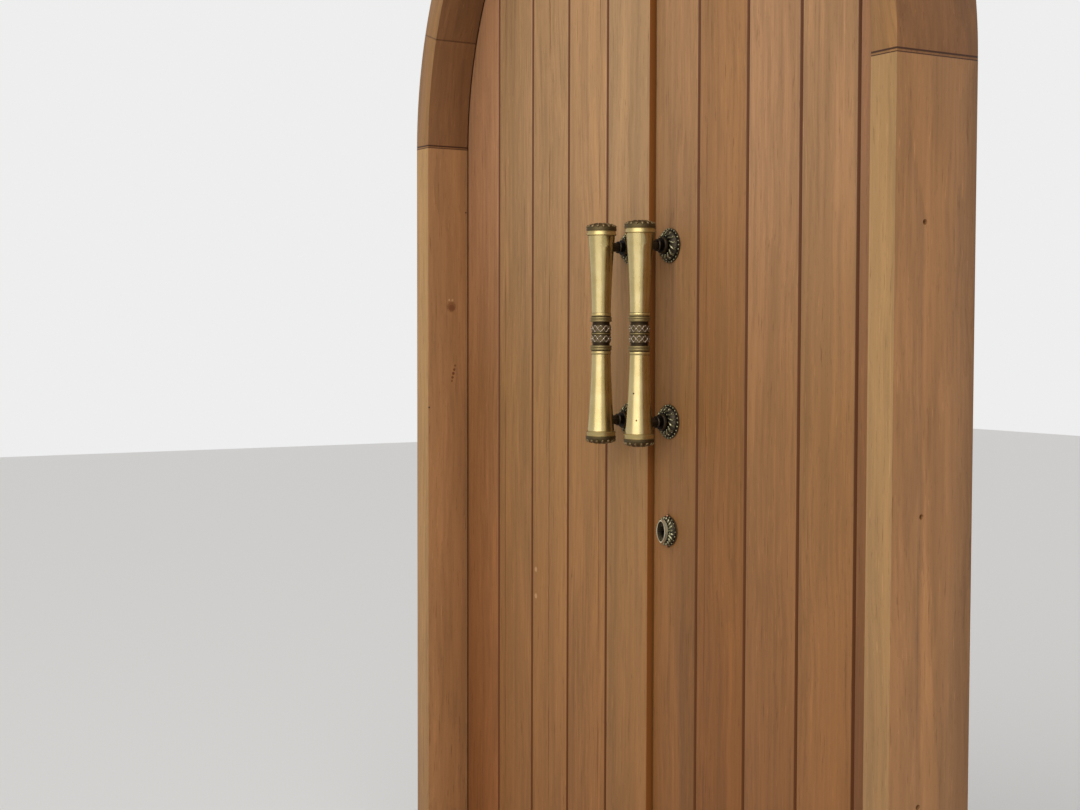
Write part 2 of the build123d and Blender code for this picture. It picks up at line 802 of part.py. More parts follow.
def handle_collar(side):
    """The collar: a bead between two bands, then on each side a groove, two rings and an end."""
    band = COLLAR_BEAD + COLLAR_BAND
    first = band + COLLAR_GROOVE
    second = first + COLLAR_RING
    end = second + COLLAR_RING + CAP_GROOVE
    half = COLLAR_LENGTH / 2
    spigot = NECK_RADIUS - TUBE_WALL
    with BuildPart() as collar:
        with BuildSketch(handle_plane(side, 1)) as outline:
            with BuildLine():
                bead = ring_line(COLLAR_BAND_RADIUS + RING_SWELL, -COLLAR_BEAD, COLLAR_BEAD)
                inner = ring_line(COLLAR_RING_RADIUS, first, second)
                outer = ring_line(COLLAR_RING_RADIUS, second, end - CAP_GROOVE)
                last = ring_line(COLLAR_END_RADIUS, end, half)
                Polyline(
                    bead @ 0,
                    (0, -COLLAR_BEAD),
                    (0, half + SPIGOT_LENGTH),
                    (spigot, half + SPIGOT_LENGTH),
                    (spigot, half),
                    last @ 1,
                )
                Polyline(
                    bead @ 1,
                    (COLLAR_BAND_RADIUS, band),
                    (COLLAR_GROOVE_RADIUS, band),
                    (COLLAR_GROOVE_RADIUS, first),
                    inner @ 0,
                )
                Polyline(outer @ 1, (NECK_RADIUS, end - CAP_GROOVE), (NECK_RADIUS, end), last @ 0)
            make_face()
        revolve(outline.sketch, axis=handle_axis(side))
        mirror(about=Plane.XY.offset(HANDLE_HEIGHT))
    save(collar, f"{side}_handle_collar")


def handle_caps(side):
    """A ring and a low dome on each end of the handle, with a spigot inside the tube."""
    spigot = FLARE_RADIUS - TUBE_WALL - SPIGOT_CLEARANCE
    ring = tube_end + CAP_GROOVE
    lip = ring + CAP_RING
    dome = lip + CAP_GROOVE / 2 + CAP_LIP
    inner = CAP_RADIUS - CAP_RING_SLOPE
    with BuildPart() as caps:
        for up in (-1, 1):
            with BuildSketch(handle_plane(side, up)):
                with BuildLine():
                    Polyline(
                        (0, dome + CAP_DOME),
                        (0, tube_end - SPIGOT_LENGTH / 2),
                        (spigot, tube_end - SPIGOT_LENGTH / 2),
                        (spigot, tube_end),
                        (FLARE_RADIUS - CAP_GROOVE, tube_end),
                        (FLARE_RADIUS - CAP_GROOVE, ring),
                        (inner, ring),
                        (CAP_RADIUS, ring + CAP_GROOVE),
                        (inner, lip),
                        (inner, lip + CAP_GROOVE / 2),
                        (CAP_RADIUS, lip + CAP_GROOVE),
                        (CAP_RADIUS, dome),
                    )
                    shoulder = (CAP_CROWN[0], dome + CAP_CROWN[1])
                    ThreePointArc(
                        (CAP_RADIUS, dome),
                        (CAP_SHOULDER[0], dome + CAP_SHOULDER[1]),
                        shoulder,
                    )
                    dome_arc(*shoulder, dome + CAP_DOME)
                make_face()
            revolve(axis=handle_axis(side))
    save(caps, f"{side}_handle_caps")


def handle_posts_and_roses(side):
    """The cast posts, each one piece with its rosette, saddled to the handle's tubes."""
    with BuildPart() as posts:
        for x, y, z in handle_posts(side):
            with BuildSketch(turning_plane(x, y, z)):
                with BuildLine():
                    collar = ring_line(ROSETTE_COLLAR_RADIUS, *ROSETTE_COLLAR)
                    ring = ring_line(POST_RING_RADIUS, *POST_RING)
                    rim = (ROSETTE_RADIUS - ROSETTE_EDGE, ROSETTE_EDGE)
                    ThreePointArc(rim, ROSETTE_BULGE, collar @ 0)
                    Polyline(
                        collar @ 1,
                        (POST_RADIUS, ROSETTE_COLLAR[1]),
                        (POST_RADIUS, POST_RING[0]),
                        ring @ 0,
                    )
                    Polyline(
                        ring @ 1,
                        (POST_RADIUS, POST_RING[1]),
                        (POST_RADIUS, HANDLE_STANDOFF),
                        (0, HANDLE_STANDOFF),
                        (0, 0),
                        (ROSETTE_RADIUS, 0),
                        (ROSETTE_RADIUS, ROSETTE_EDGE),
                        rim,
                    )
                make_face()
            revolve(axis=Axis((x, y, z), (0, -1, 0)))
        for up in (-1, 1):
            add_tube(side, up, None)
        for x, y, z in handle_posts(side):
            inner = HANDLE_STANDOFF - FLARE_RADIUS + POST_SPIGOT_LENGTH
            with Locations(Plane(origin=(x, y - BOLT_IN_POST, z), z_dir=(0, -1, 0))):
                Cylinder(
                    POST_SPIGOT_RADIUS,
                    inner - BOLT_IN_POST,
                    align=(Align.CENTER, Align.CENTER, Align.MIN),
                )
            with Locations(Plane(origin=(x, y, z), z_dir=(0, -1, 0))):
                Cylinder(
                    BOLT_RADIUS,
                    BOLT_IN_POST,
                    align=(Align.CENTER, Align.CENTER, Align.MIN),
                    mode=Mode.SUBTRACT,
                )
    save(posts, f"{side}_handle_posts")


def handle_bolts(side):
    """A bolt through the leaf into each post, with a washer and a domed head on the inside."""
    with BuildPart() as bolts:
        for x, y, z in handle_posts(side):
            back = -LEAF_THICKNESS
            head = back - WASHER_THICKNESS
            with BuildSketch(turning_plane(x, y, z)):
                with BuildLine():
                    Polyline(
                        (0, head - BOLT_HEAD_HEIGHT),
                        (0, BOLT_IN_POST),
                        (BOLT_RADIUS, BOLT_IN_POST),
                        (BOLT_RADIUS, back),
                        (WASHER_RADIUS, back),
                        (WASHER_RADIUS, head),
                        (BOLT_HEAD_RADIUS, head),
                    )
                    dome_arc(BOLT_HEAD_RADIUS, head, head - BOLT_HEAD_HEIGHT)
                make_face()
            revolve(axis=Axis((x, y, z), (0, -1, 0)))
    save(bolts, f"{side}_handle_bolts")


def handle(side):
    handle_tube(side, "upper", 1)
    handle_tube(side, "lower", -1)
    handle_collar(side)
    handle_caps(side)
    handle_posts_and_roses(side)
    handle_bolts(side)


# Lock


def lock_case():
    """The closed case with its forend, open where the deadbolt and the cylinder pass."""
    low, high = case_corners()
    with BuildPart() as case:
        box_between(low, high)
        box_between(
            (low[0], low[1] + CASE_WALL, low[2] + CASE_WALL),
            (high[0] - CASE_WALL, high[1] - CASE_WALL, high[2] - CASE_WALL),
            mode=Mode.SUBTRACT,
        )
        box_between(*forend_corners())
        half_y = CASE_SIZE[1] / 2 - CASE_WALL
        half_z = DEADBOLT_HEIGHT / 2 + SLIDING_CLEARANCE
        box_between(
            (leaf_edge, lock_y - half_y, deadbolt_z - half_z),
            (low[0], lock_y + half_y, deadbolt_z + half_z),
            mode=Mode.SUBTRACT,
        )
        with BuildSketch(facing(low[1])):
            euro_profile(EURO_CLEARANCE)
        extrude(amount=-CASE_SIZE[1], mode=Mode.SUBTRACT)
    save(case, "lock_case")


def deadbolt():
    """The bolt, drawn back level with the forend, with eased corners at its nose."""
    half_y = CASE_SIZE[1] / 2 - CASE_WALL - SLIDING_CLEARANCE
    front = leaf_edge + SLIDING_CLEARANCE
    with BuildPart() as bolt:
        box_between(
            (front, lock_y - half_y, deadbolt_z - DEADBOLT_HEIGHT / 2),
            (front + DEADBOLT_LENGTH, lock_y + half_y, deadbolt_z + DEADBOLT_HEIGHT / 2),
        )
        chamfer(bolt.faces().sort_by(Axis.X)[0].edges(), 0.8)
    save(bolt, "deadbolt")


def lock_cylinder():
    """The cylinder's body, slotted at mid length for the cam, with a bore for the plug."""
    front = leaf_front["right"] - ESCUTCHEON_EDGE - CYLINDER_PROUD
    back = leaf_back["right"] + ESCUTCHEON_EDGE + CYLINDER_PROUD
    with BuildPart() as body:
        with BuildSketch(facing(front)):
            euro_profile()
        extrude(amount=-(back - front))
        axis_plane = Plane(origin=(KEYHOLE_X, front, plug_z), z_dir=(0, 1, 0))
        with Locations(axis_plane):
            Cylinder(
                PLUG_RADIUS + PLUG_CLEARANCE,
                back - front,
                align=(Align.CENTER, Align.CENTER, Align.MIN),
                mode=Mode.SUBTRACT,
            )
        with Locations(Plane(origin=(KEYHOLE_X, lock_y, plug_z), z_dir=(0, 1, 0))):
            Cylinder(
                CAM_RADIUS + SLIDING_CLEARANCE,
                CAM_WIDTH + 2 * SLIDING_CLEARANCE,
                mode=Mode.SUBTRACT,
            )
    save(body, "lock_cylinder")


def cylinder_plug():
    """The turning plug with its keyways and its cam, which points down at rest."""
    front = leaf_front["right"] - ESCUTCHEON_EDGE - CYLINDER_PROUD
    back = leaf_back["right"] + ESCUTCHEON_EDGE + CYLINDER_PROUD
    keyway_depth = LEAF_THICKNESS / 4
    with BuildPart() as plug:
        with BuildSketch(facing(front)):
            with Locations((KEYHOLE_X, plug_z)):
                Circle(PLUG_RADIUS)
        extrude(amount=-(back - front))
        with BuildSketch(facing(lock_y - CAM_WIDTH / 2)):
            with Locations((KEYHOLE_X, plug_z)):
                Circle(CAM_RADIUS)
                Rectangle(
                    CAM_THICKNESS,
                    CAM_RADIUS,
                    align=(Align.CENTER, Align.MAX),
                    mode=Mode.INTERSECT,
                )
        extrude(amount=-CAM_WIDTH)
        for y, way in ((front, -1), (back, 1)):
            with BuildSketch(facing(y)):
                with Locations((KEYHOLE_X, plug_z)):
                    Rectangle(*KEYWAY)
            extrude(amount=way * keyway_depth, mode=Mode.SUBTRACT)
    save(plug, "cylinder_plug")


def pointed_oval(half_x, half_z):
    """Adds two arcs, which meet in a point above and below the keyhole, to the open sketch."""
    x, z = KEYHOLE_X, ESCUTCHEON_HEIGHT
    with BuildLine() as outline:
        for s in SIDES.values():
            ThreePointArc((x, z - half_z), (x + s * half_x, z), (x, z + half_z))
    make_face(outline.edges())


def escutcheon(name, y, way, crown):
    """A domed plate round the keyhole. way is -1 for the outside."""
    half_x, half_z = ESCUTCHEON_SIZE[0] / 2, ESCUTCHEON_SIZE[1] / 2
    place = (KEYHOLE_X, ESCUTCHEON_HEIGHT)
    with BuildPart() as plate:
        with BuildSketch(facing(y)):
            with Locations(place):
                Ellipse(half_x, half_z + FINIAL_RADIUS / 10)
            if way < 0:
                with Locations(*((place[0], place[1] + up) for up in (-half_z, half_z))):
                    Circle(FINIAL_RADIUS)
        extrude(amount=-way * ESCUTCHEON_EDGE)
        for step, inset in enumerate(ESCUTCHEON_INSETS):
            up = crown * math.sin(math.radians(45 * step))
            with BuildSketch(facing(y + way * (ESCUTCHEON_EDGE + up))):
                with Locations(place):
                    Ellipse(half_x - inset, half_z - inset)
        loft()
        if way < 0:
            add_key_collar(y)
        with BuildSketch(facing(y)):
            euro_profile(EURO_CLEARANCE)
        extrude(amount=-way * 2 * KEY_COLLAR_HEIGHT, mode=Mode.SUBTRACT)
    save(plate, name)


def add_key_collar(y):
    """Adds the raised collar round the keyhole to the open part, and hollows it to its floor."""
    half_x, half_z = KEY_COLLAR_SIZE[0] / 2, KEY_COLLAR_SIZE[1] / 2
    with BuildSketch(facing(y)) as outside:
        pointed_oval(half_x, half_z)
    extrude(outside.sketch, amount=KEY_COLLAR_HEIGHT)
    with BuildSketch(facing(y - KEY_COLLAR_FLOOR)) as inside:
        pointed_oval(half_x - KEY_COLLAR_WALL, half_z - 2 * KEY_COLLAR_WALL)
    extrude(inside.sketch, amount=KEY_COLLAR_HEIGHT, mode=Mode.SUBTRACT)


def strike_plate():
    with BuildPart() as plate:
        box_between(*strike_corners())
        box_between(*bolt_hole_corners(STRIKE[0]), mode=Mode.SUBTRACT)
    save(plate, "strike_plate")


# Flush bolts


def flush_bolt_plates():
    with BuildPart() as plates:
        half = FLUSH_LUG[0] / 2 + SLIDING_CLEARANCE
        for end, way in flush_ends().values():
            near = end - way * FLUSH_PLATE_FROM_END
            box_between(
                (-leaf_edge, flush_y - FLUSH_PLATE[1] / 2, near),
                (
                    -leaf_edge - FLUSH_PLATE[0],
                    flush_y + FLUSH_PLATE[1] / 2,
                    near - way * FLUSH_PLATE[2],
                ),
            )
            low, high = lug_slot(end, way)
            box_between(
                (-leaf_edge, flush_y - half, low),
                (-leaf_edge - FLUSH_PLATE[0], flush_y + half, high),
                mode=Mode.SUBTRACT,
            )
    save(plates, "flush_bolt_plates")


def flush_bolt(name):
    """A rod with a thumb lug, drawn back level with the leaf's end."""
    end, way = flush_ends()[name]
    with BuildPart() as rod:
        with Locations((flush_x, flush_y, end - way * FLUSH_ROD_LENGTH / 2)):
            Cylinder(FLUSH_ROD_RADIUS, FLUSH_ROD_LENGTH)
        lug = flush_lug(end, way)
        box_between(
            (flush_x, flush_y - FLUSH_LUG[0] / 2, lug - FLUSH_LUG[1] / 2),
            (-leaf_edge, flush_y + FLUSH_LUG[0] / 2, lug + FLUSH_LUG[1] / 2),
        )
    save(rod, f"{name}_flush_bolt")


for side in SIDES:
    jamb(side)
    planks(side)
    for name, z in LEDGES.items():
        ledge(side, name, z)
    leaf_screws(side)
    hinge_plates(f"{side}_hinge_plates", [side], False)
    handle(side)
arch_segments()
sill()
frame_dowels()
hinge_plates("frame_hinge_plates", SIDES, True)
hinge_pins()
frame_hinge_screws()
lock_case()
deadbolt()
lock_cylinder()
cylinder_plug()
escutcheon("outer_escutcheon", leaf_front["right"], -1, OUTER_CROWN)
escutcheon("inner_escutcheon", leaf_back["right"], 1, INNER_CROWN)
strike_plate()
flush_bolt_plates()
for name in ("bottom", "top"):
    flush_bolt(name)
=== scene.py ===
"""The looks of a round-arched double door of solid timber with turned brass pull handles.

The boards are shown by copies with eased arrises, the handles and the outer escutcheon get
their cast ornament, and every surface gets its finish. Lengths are in metres.
"""

import json
import math

import bmesh
import bpy
from mathutils import Euler, Matrix, Vector

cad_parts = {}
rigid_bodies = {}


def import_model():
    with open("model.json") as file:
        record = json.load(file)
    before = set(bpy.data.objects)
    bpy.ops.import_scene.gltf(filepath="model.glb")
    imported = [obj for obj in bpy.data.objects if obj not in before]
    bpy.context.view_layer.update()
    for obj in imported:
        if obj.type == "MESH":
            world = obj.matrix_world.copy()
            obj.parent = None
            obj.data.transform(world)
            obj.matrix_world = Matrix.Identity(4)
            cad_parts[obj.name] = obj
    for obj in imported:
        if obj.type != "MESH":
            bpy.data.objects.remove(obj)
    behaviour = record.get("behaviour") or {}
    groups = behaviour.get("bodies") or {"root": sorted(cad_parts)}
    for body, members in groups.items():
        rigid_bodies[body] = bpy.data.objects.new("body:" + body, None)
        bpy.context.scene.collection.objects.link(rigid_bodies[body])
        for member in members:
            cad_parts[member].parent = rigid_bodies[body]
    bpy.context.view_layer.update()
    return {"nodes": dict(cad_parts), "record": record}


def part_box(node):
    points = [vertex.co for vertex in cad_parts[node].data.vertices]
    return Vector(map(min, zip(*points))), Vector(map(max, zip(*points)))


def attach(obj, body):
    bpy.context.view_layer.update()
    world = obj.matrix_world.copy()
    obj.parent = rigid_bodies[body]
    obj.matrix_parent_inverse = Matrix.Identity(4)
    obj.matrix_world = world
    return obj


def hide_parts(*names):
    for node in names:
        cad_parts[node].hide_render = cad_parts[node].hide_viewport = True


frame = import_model()
nodes = frame["nodes"]
slot_of = {part["node"]: part["material_slot"] for part in frame["record"]["subparts"]}
body_of = {
    node: body
    for body, members in frame["record"]["behaviour"]["bodies"].items()
    for node in members
}
bpy.ops.object.select_all(action="DESELECT")

FULL_TURN = 2 * math.pi
QUARTER_TURN = math.pi / 2

SIDES = ("left", "right")

# The height at which the jambs end and the arch begins
SPRINGING = 1.675

# The arch's joints follow each other by this angle, save at the wider crown
JOINT_STEP = math.radians(18.75)
CROWN_STEP = math.radians(30)
ARCH_SEGMENTS = 9
CROWN_SEGMENT = 5

# How far forward each leaf's outer face and the frame's front lie
LEAF_FACE = {
    "left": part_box("left_plank_3")[0].y,
    "right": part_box("right_plank_3")[0].y,
}
FRAME_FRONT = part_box("left_jamb")[0].y

# Where most of a noise's values lie
NOISE_RANGE = (0.3, 0.7)


# Shader helpers


def linear(red, green, blue):
    """A colour given as 0 to 255, as the shaders take it."""
    out = []
    for value in (red, green, blue):
        share = value / 255
        out.append(share / 12.92 if share <= 0.04045 else ((share + 0.055) / 1.055) ** 2.4)
    return (*out, 1.0)


def midway(a, b):
    return tuple((x + y) / 2 for x, y in zip(a, b))


def new_material(name):
    """A material, its node tree and its main shader."""
    material = bpy.data.materials.new(name)
    material.use_nodes = True
    tree = material.node_tree
    shader = next(n for n in tree.nodes if n.type == "BSDF_PRINCIPLED")
    return material, tree, shader


def put(tree, kind, inputs=None, **settings):
    """Adds a shader node. An input's value is a socket to link, or a number or colour to set."""
    node = tree.nodes.new("ShaderNode" + kind)
    for key, value in settings.items():
        setattr(node, key, value)
    for key, value in (inputs or {}).items():
        if isinstance(value, bpy.types.NodeSocket):
            tree.links.new(value, node.inputs[key])
        else:
            node.inputs[key].default_value = value
    return node


def calc(tree, operation, a, b=0.0, c=0.0):
    return put(tree, "Math", {0: a, 1: b, 2: c}, operation=operation).outputs[0]


def product(tree, a, b):
    return calc(tree, "MULTIPLY", a, b)


def blended(tree, a, b, c):
    """a times b, plus c."""
    return calc(tree, "MULTIPLY_ADD", a, b, c)


def distance(tree, a, b):
    """How far the number a lies from the number b."""
    return calc(tree, "ABSOLUTE", calc(tree, "SUBTRACT", a, b))


def span(tree, value, low, high, to_low=0.0, to_high=1.0):
    """The value's place between low and high, held within to_low and to_high."""
    inputs = {
        "Value": value,
        "From Min": low,
        "From Max": high,
        "To Min": to_low,
        "To Max": to_high,
    }
    return put(tree, "MapRange", inputs).outputs[0]


def between(tree, value, start, full, still_full, end):
    """0 up to start, 1 from full to still_full, and 0 again from end."""
    return product(tree, span(tree, value, start, full), span(tree, value, end, still_full))


def mixed(tree, factor, a, b, blend="MIX"):
    inputs = {0: factor, 6: a, 7: b}
    return put(tree, "Mix", inputs, data_type="RGBA", blend_type=blend).outputs[2]


def tinted(tree, colour, tint):
    return mixed(tree, 1.0, colour, tint, "MULTIPLY")


def ramp(tree, value, stops):
    node = put(tree, "ValToRGB", {"Fac": value})
    elements = node.color_ramp.elements
    while len(elements) < len(stops):
        elements.new(0.5)
    for element, (place, colour) in zip(elements, stops):
        element.position = place
        element.color = colour
    return node.outputs["Color"]


def here(tree):
    """The place on the door."""
    return put(tree, "TexCoord").outputs["Object"]


def here_along(tree, axis):
    """The place on the door along X, Y or Z."""
    return along(tree, here(tree), axis)


def along(tree, vector, axis):
    return put(tree, "SeparateXYZ", {0: vector}).outputs[axis]


def vector_of(tree, operation, a, b):
    return put(tree, "VectorMath", {0: a, 1: b}, operation=operation).outputs[0]


def number_of(tree, operation, a, b=(0, 0, 0)):
    return put(tree, "VectorMath", {0: a, 1: b}, operation=operation).outputs["Value"]


def stretched(tree, vector, x, y, z):
    return vector_of(tree, "MULTIPLY", vector, (x, y, z))


def noise(tree, vector, scale, detail=2.0, roughness=0.5, distortion=0.0):
    inputs = {
        "Vector": vector,
        "Scale": scale,
        "Detail": detail,
        "Roughness": roughness,
        "Distortion": distortion,
    }
    return put(tree, "TexNoise", inputs).outputs["Fac"]


def emboss(tree, shader, height, strength, depth):
    """Gives the surface a fine relief."""
    bump = put(tree, "Bump", {"Height": height, "Strength": strength, "Distance": depth})
    tree.links.new(bump.outputs[0], shader.inputs["Normal"])


# Timber

# Each feature of the grain: how often it changes in a metre across the board and along it,
# and its noise's detail, roughness and distortion
GRAIN = {
    "wander": (3, 1.7, 3.0, 0.50, 0.0),
    "broad": (14, 0.9, 3.0, 0.55, 0.5),
    "patches": (23, 1.6, 2.0, 0.50, 0.0),
    "bands": (52, 2.2, 3.0, 0.55, 0.0),
    "streaks": (150, 8, 4.0, 0.60, 0.2),
    "dashes": (310, 16, 3.0, 0.60, 0.0),
    "fibres": (420, 7, 5.0, 0.62, 0.0),
    "pores": (1500, 60, 2.0, 0.50, 0.0),
}
# How far the grain is led aside as it runs
GRAIN_WANDER = 0.05
# The long growth rings: how much they change along the board, and their wave
FIGURE_LENGTHWAYS = 0.045
FIGURE_WAVE = {
    "Scale": 19.0,
    "Distortion": 9.0,
    "Detail": 3.0,
    "Detail Scale": 0.6,
    "Detail Roughness": 0.62,
}
# How much each feature sways the wood's tone
BROAD_SHARE = 0.42
FIGURE_SHARE = 0.05
BANDS_SHARE = 0.28
FIBRES_SHARE = 0.10
# The streaks go from faint to strong between these values of the patches
PATCH_LEVELS = (0.38, 0.62)
STREAK_SHARES = (0.10, 0.44)
# What is added to the tone, and the tones at which the wood is dark, midway and light
BASE_TONE = 0.22
DARK_TONE = 0.44
MIDDLE_TONE = 0.63
LIGHT_TONE = 0.80
# A board's dark wood as a share of its light wood's colour
DARKER = 0.74
# Dark and pale dashes: the noise's values that show them, their share of the dark and of the
# light wood, and how well they cover
DARK_DASH_LEVELS = (0.37, 0.30)
PALE_DASH_LEVELS = (0.64, 0.71)
DARK_DASH = 0.62
PALE_DASH = 1.22
DASH_COVER = 0.5
PORE_LEVELS = (0.34, 0.28)
PORE_COVER = 0.45
# The planks are browner at their feet and paler at their heads, by their height between these
TINT_HEIGHTS = (0.35, 2.15)
TINTS = [
    (0.0, (0.70, 0.54, 0.30, 1)),
    (0.24, (0.80, 0.68, 0.43, 1)),
    (0.456, (0.84, 0.78, 0.53, 1)),
    (0.678, (1.04, 1.06, 0.92, 1)),
    (1.0, (1.16, 1.22, 1.10, 1)),
]
# The frame's front, no deeper than this, is painted paler than its other faces, as painted
# light. The jambs' front is paler the higher up, between these heights, and the arch's is the
# same all over
FRONT_DEPTHS = (0.0009, 0.0002)
FRONT_LIGHT_HEIGHTS = (0.35, 1.25)
JAMB_FRONT_LIGHT = ((0.87, 0.95, 0.95, 1), (1.06, 1.24, 1.22, 1))
ARCH_FRONT_LIGHT = ((1.34, 1.50, 1.38, 1), (1.34, 1.50, 1.38, 1))

PORE_BROWN = linear(70, 42, 26)
CRACK_BROWN = linear(100, 60, 30)
# Painted shade on the meeting edges and on the joints' flanks, below the leaf's face
MEETING_EDGE_SHADE = linear(122, 72, 28)
JOINT_SHADE = linear(86, 45, 10)
RIM_BROWN = linear(48, 25, 14)
GLUE_BROWN = linear(62, 36, 20)

# The painted shade in the joints starts just under the leaf's face and ends this deep
SHADE_DEPTHS = (0.0004, 0.0011, 0.0140, 0.0150)
# The meeting edges, within this distance of the door's middle, get a paler painted shade
MEETING_REACH = (0.02, 0.03)
# The dark rim of a leaf beside the frame: its distance from the door's middle, or from the
# arch's centre above the springing, and how deep it goes
RIM_REACH = (0.6488, 0.6500, 0.6530, 0.6540)
RIM_DEPTHS = (0.0010, 0.0004)
# A glue line's half width with its soft edge, and how dark it is unless it is almost level
GLUE_REACH = (0.0017, 0.0010)
FAINT_GLUE = 0.55
ALMOST_LEVEL = 0.1
# A crack's course and its breaks: how often they change in a metre, and their noise's detail
# and roughness
CRACK_COURSE = (16, 5.0, 0.65)
CRACK_BREAKS = (4.3, 2.0, 0.50)
BREAK_LEVELS = (0.42, 0.54)
# The part of a crack's half width that is fully dark
CRACK_CORE = 0.3
# A spot's edge: its noise's scale and detail, how ragged it is, and where it ends and begins
RAGGED_NOISE = (420.0, 3.0)
RAGGEDNESS = 0.9
SPOT_EDGE = (1.45, 1.15)

OIL_GLOSS = 0.22
WOOD_ROUGHNESS = (0.60, 0.46)
WOOD_RELIEF = (0.35, 0.0006)
FIBRE_HEIGHT = 0.5
PORE_DEPTH = -0.6
CRACK_DEPTH = -2.0


def dash_colour(dark):
    """A darker brown that loses more of its blue than of its red."""
    red, green, blue = (value * DARK_DASH for value in dark[:3])
    return (red, green * 0.9, blue * 0.72, 1.0)


def pale_colour(light):
    return (*(value * PALE_DASH for value in light[:3]), 1.0)


def feature(tree, grain, name):
    across, lengthways, detail, roughness, distortion = GRAIN[name]
    place = stretched(tree, grain, across, across, lengthways)
    return noise(tree, place, 1.0, detail, roughness, distortion)


def wandering_grain(tree, shift, turn):
    """The place in the wood, with the grain along Z before the turn and led a little aside."""
    inputs = {"Vector": here(tree), "Location": shift, "Rotation": turn}
    grain = put(tree, "Mapping", inputs).outputs[0]
    wander = product(tree, feature(tree, grain, "wander"), GRAIN_WANDER)
    aside = put(tree, "CombineXYZ", {0: wander, 1: wander}).outputs[0]
    return vector_of(tree, "ADD", grain, aside)


def figure(tree, grain):
    """The long growth rings that a flat-sawn board shows."""
    inputs = {"Vector": stretched(tree, grain, 1.0, 1.0, FIGURE_LENGTHWAYS), **FIGURE_WAVE}
    settings = {"wave_type": "BANDS", "bands_direction": "X", "wave_profile": "SAW"}
    return put(tree, "TexWave", inputs, **settings).outputs["Fac"]


def wood_tone(tree, grain, fibres):
    """How light the wood is, by all the features of its grain together."""
    patches = feature(tree, grain, "patches")
    streakiness = span(tree, patches, *PATCH_LEVELS, *STREAK_SHARES)
    streaks = calc(tree, "SUBTRACT", feature(tree, grain, "streaks"), 0.5)
    tone = product(tree, figure(tree, grain), FIGURE_SHARE)
    tone = blended(tree, feature(tree, grain, "broad"), BROAD_SHARE, tone)
    tone = blended(tree, feature(tree, grain, "bands"), BANDS_SHARE, tone)
    tone = blended(tree, streaks, streakiness, tone)
    tone = blended(tree, fibres, FIBRES_SHARE, tone)
    return calc(tree, "ADD", tone, BASE_TONE)


def wood_colour(tree, grain, fibres, light, dark):
    tone = wood_tone(tree, grain, fibres)
    middle = midway(dark, light)
    stops = [(DARK_TONE, dark), (MIDDLE_TONE, middle), (LIGHT_TONE, light)]
    colour = ramp(tree, tone, stops)
    dashes = feature(tree, grain, "dashes")
    dark_dashes = span(tree, dashes, *DARK_DASH_LEVELS, 0, DASH_COVER)
    colour = mixed(tree, dark_dashes, colour, dash_colour(dark))
    pale_dashes = span(tree, dashes, *PALE_DASH_LEVELS, 0, DASH_COVER)
    return mixed(tree, pale_dashes, colour, pale_colour(light))


def noise_by_height(tree, changes, detail, roughness):
    return noise(tree, stretched(tree, here(tree), 0, 0, changes), 1.0, detail, roughness)


def crack(tree, x, half_width, wander):
    """1 along a broken hairline that wanders a little about the place x, and 0 away from it."""
    centre = blended(tree, noise_by_height(tree, *CRACK_COURSE), wander, x - wander / 2)
    away = distance(tree, here_along(tree, "X"), centre)
    line = span(tree, away, half_width, half_width * CRACK_CORE)
    unbroken = span(tree, noise_by_height(tree, *CRACK_BREAKS), *BREAK_LEVELS)
    return product(tree, line, unbroken)


def spot(tree, place, radius):
    """1 inside a small ragged spot at a place, and 0 outside it."""
    away = number_of(tree, "DISTANCE", here(tree), place)
    ragged = noise(tree, here(tree), *RAGGED_NOISE)
    away = blended(tree, ragged, radius * RAGGEDNESS, away)
    outside, inside = (radius * share for share in SPOT_EDGE)
    return span(tree, away, outside, inside)


def height_tint(tree, colour):
    height = span(tree, here_along(tree, "Z"), *TINT_HEIGHTS)
    return tinted(tree, colour, ramp(tree, height, TINTS))


def joint_shade_and_rim(tree, colour, face):
    """Painted shade on what lies below the leaf's face, and a dark rim beside the frame."""
    depth = calc(tree, "SUBTRACT", here_along(tree, "Y"), face)
    below = between(tree, depth, *SHADE_DEPTHS)
    from_middle = calc(tree, "ABSOLUTE", here_along(tree, "X"))
    edge_or_joint = span(tree, from_middle, *MEETING_REACH)
    painted_shade = mixed(tree, edge_or_joint, MEETING_EDGE_SHADE, JOINT_SHADE)
    colour = mixed(tree, below, colour, painted_shade)
    rise = calc(tree, "SUBTRACT", here_along(tree, "Z"), SPRINGING)
    above = calc(tree, "MAXIMUM", rise, 0.0)
    from_centre = put(tree, "CombineXYZ", {0: here_along(tree, "X"), 1: above}).outputs[0]
    reach = number_of(tree, "LENGTH", from_centre)
    rim = between(tree, reach, *RIM_REACH)
    rim = product(tree, rim, span(tree, depth, *RIM_DEPTHS))
    return mixed(tree, rim, colour, RIM_BROWN)


def front_painted_light(tree, colour, low_tint, high_tint):
    """The frame's front painted paler, as painted light, by tints for its foot and higher up."""
    depth = calc(tree, "SUBTRACT", here_along(tree, "Y"), FRAME_FRONT)
    front = span(tree, depth, *FRONT_DEPTHS)
    height = span(tree, here_along(tree, "Z"), *FRONT_LIGHT_HEIGHTS)
    tint = mixed(tree, height, low_tint, high_tint)
    return mixed(tree, front, colour, tinted(tree, colour, tint))


def seam(tree, colour, angle):
    """A dark glue line where two parts of the arch meet, at an angle up from the springing."""
    across = (-math.sin(angle), 0, math.cos(angle))
    from_line = number_of(tree, "DOT_PRODUCT", here(tree), across)
    away = distance(tree, from_line, across[2] * SPRINGING)
    level = abs(math.sin(angle)) < ALMOST_LEVEL
    line = span(tree, away, *GLUE_REACH, 0, 1.0 if level else FAINT_GLUE)
    return mixed(tree, line, colour, GLUE_BROWN)


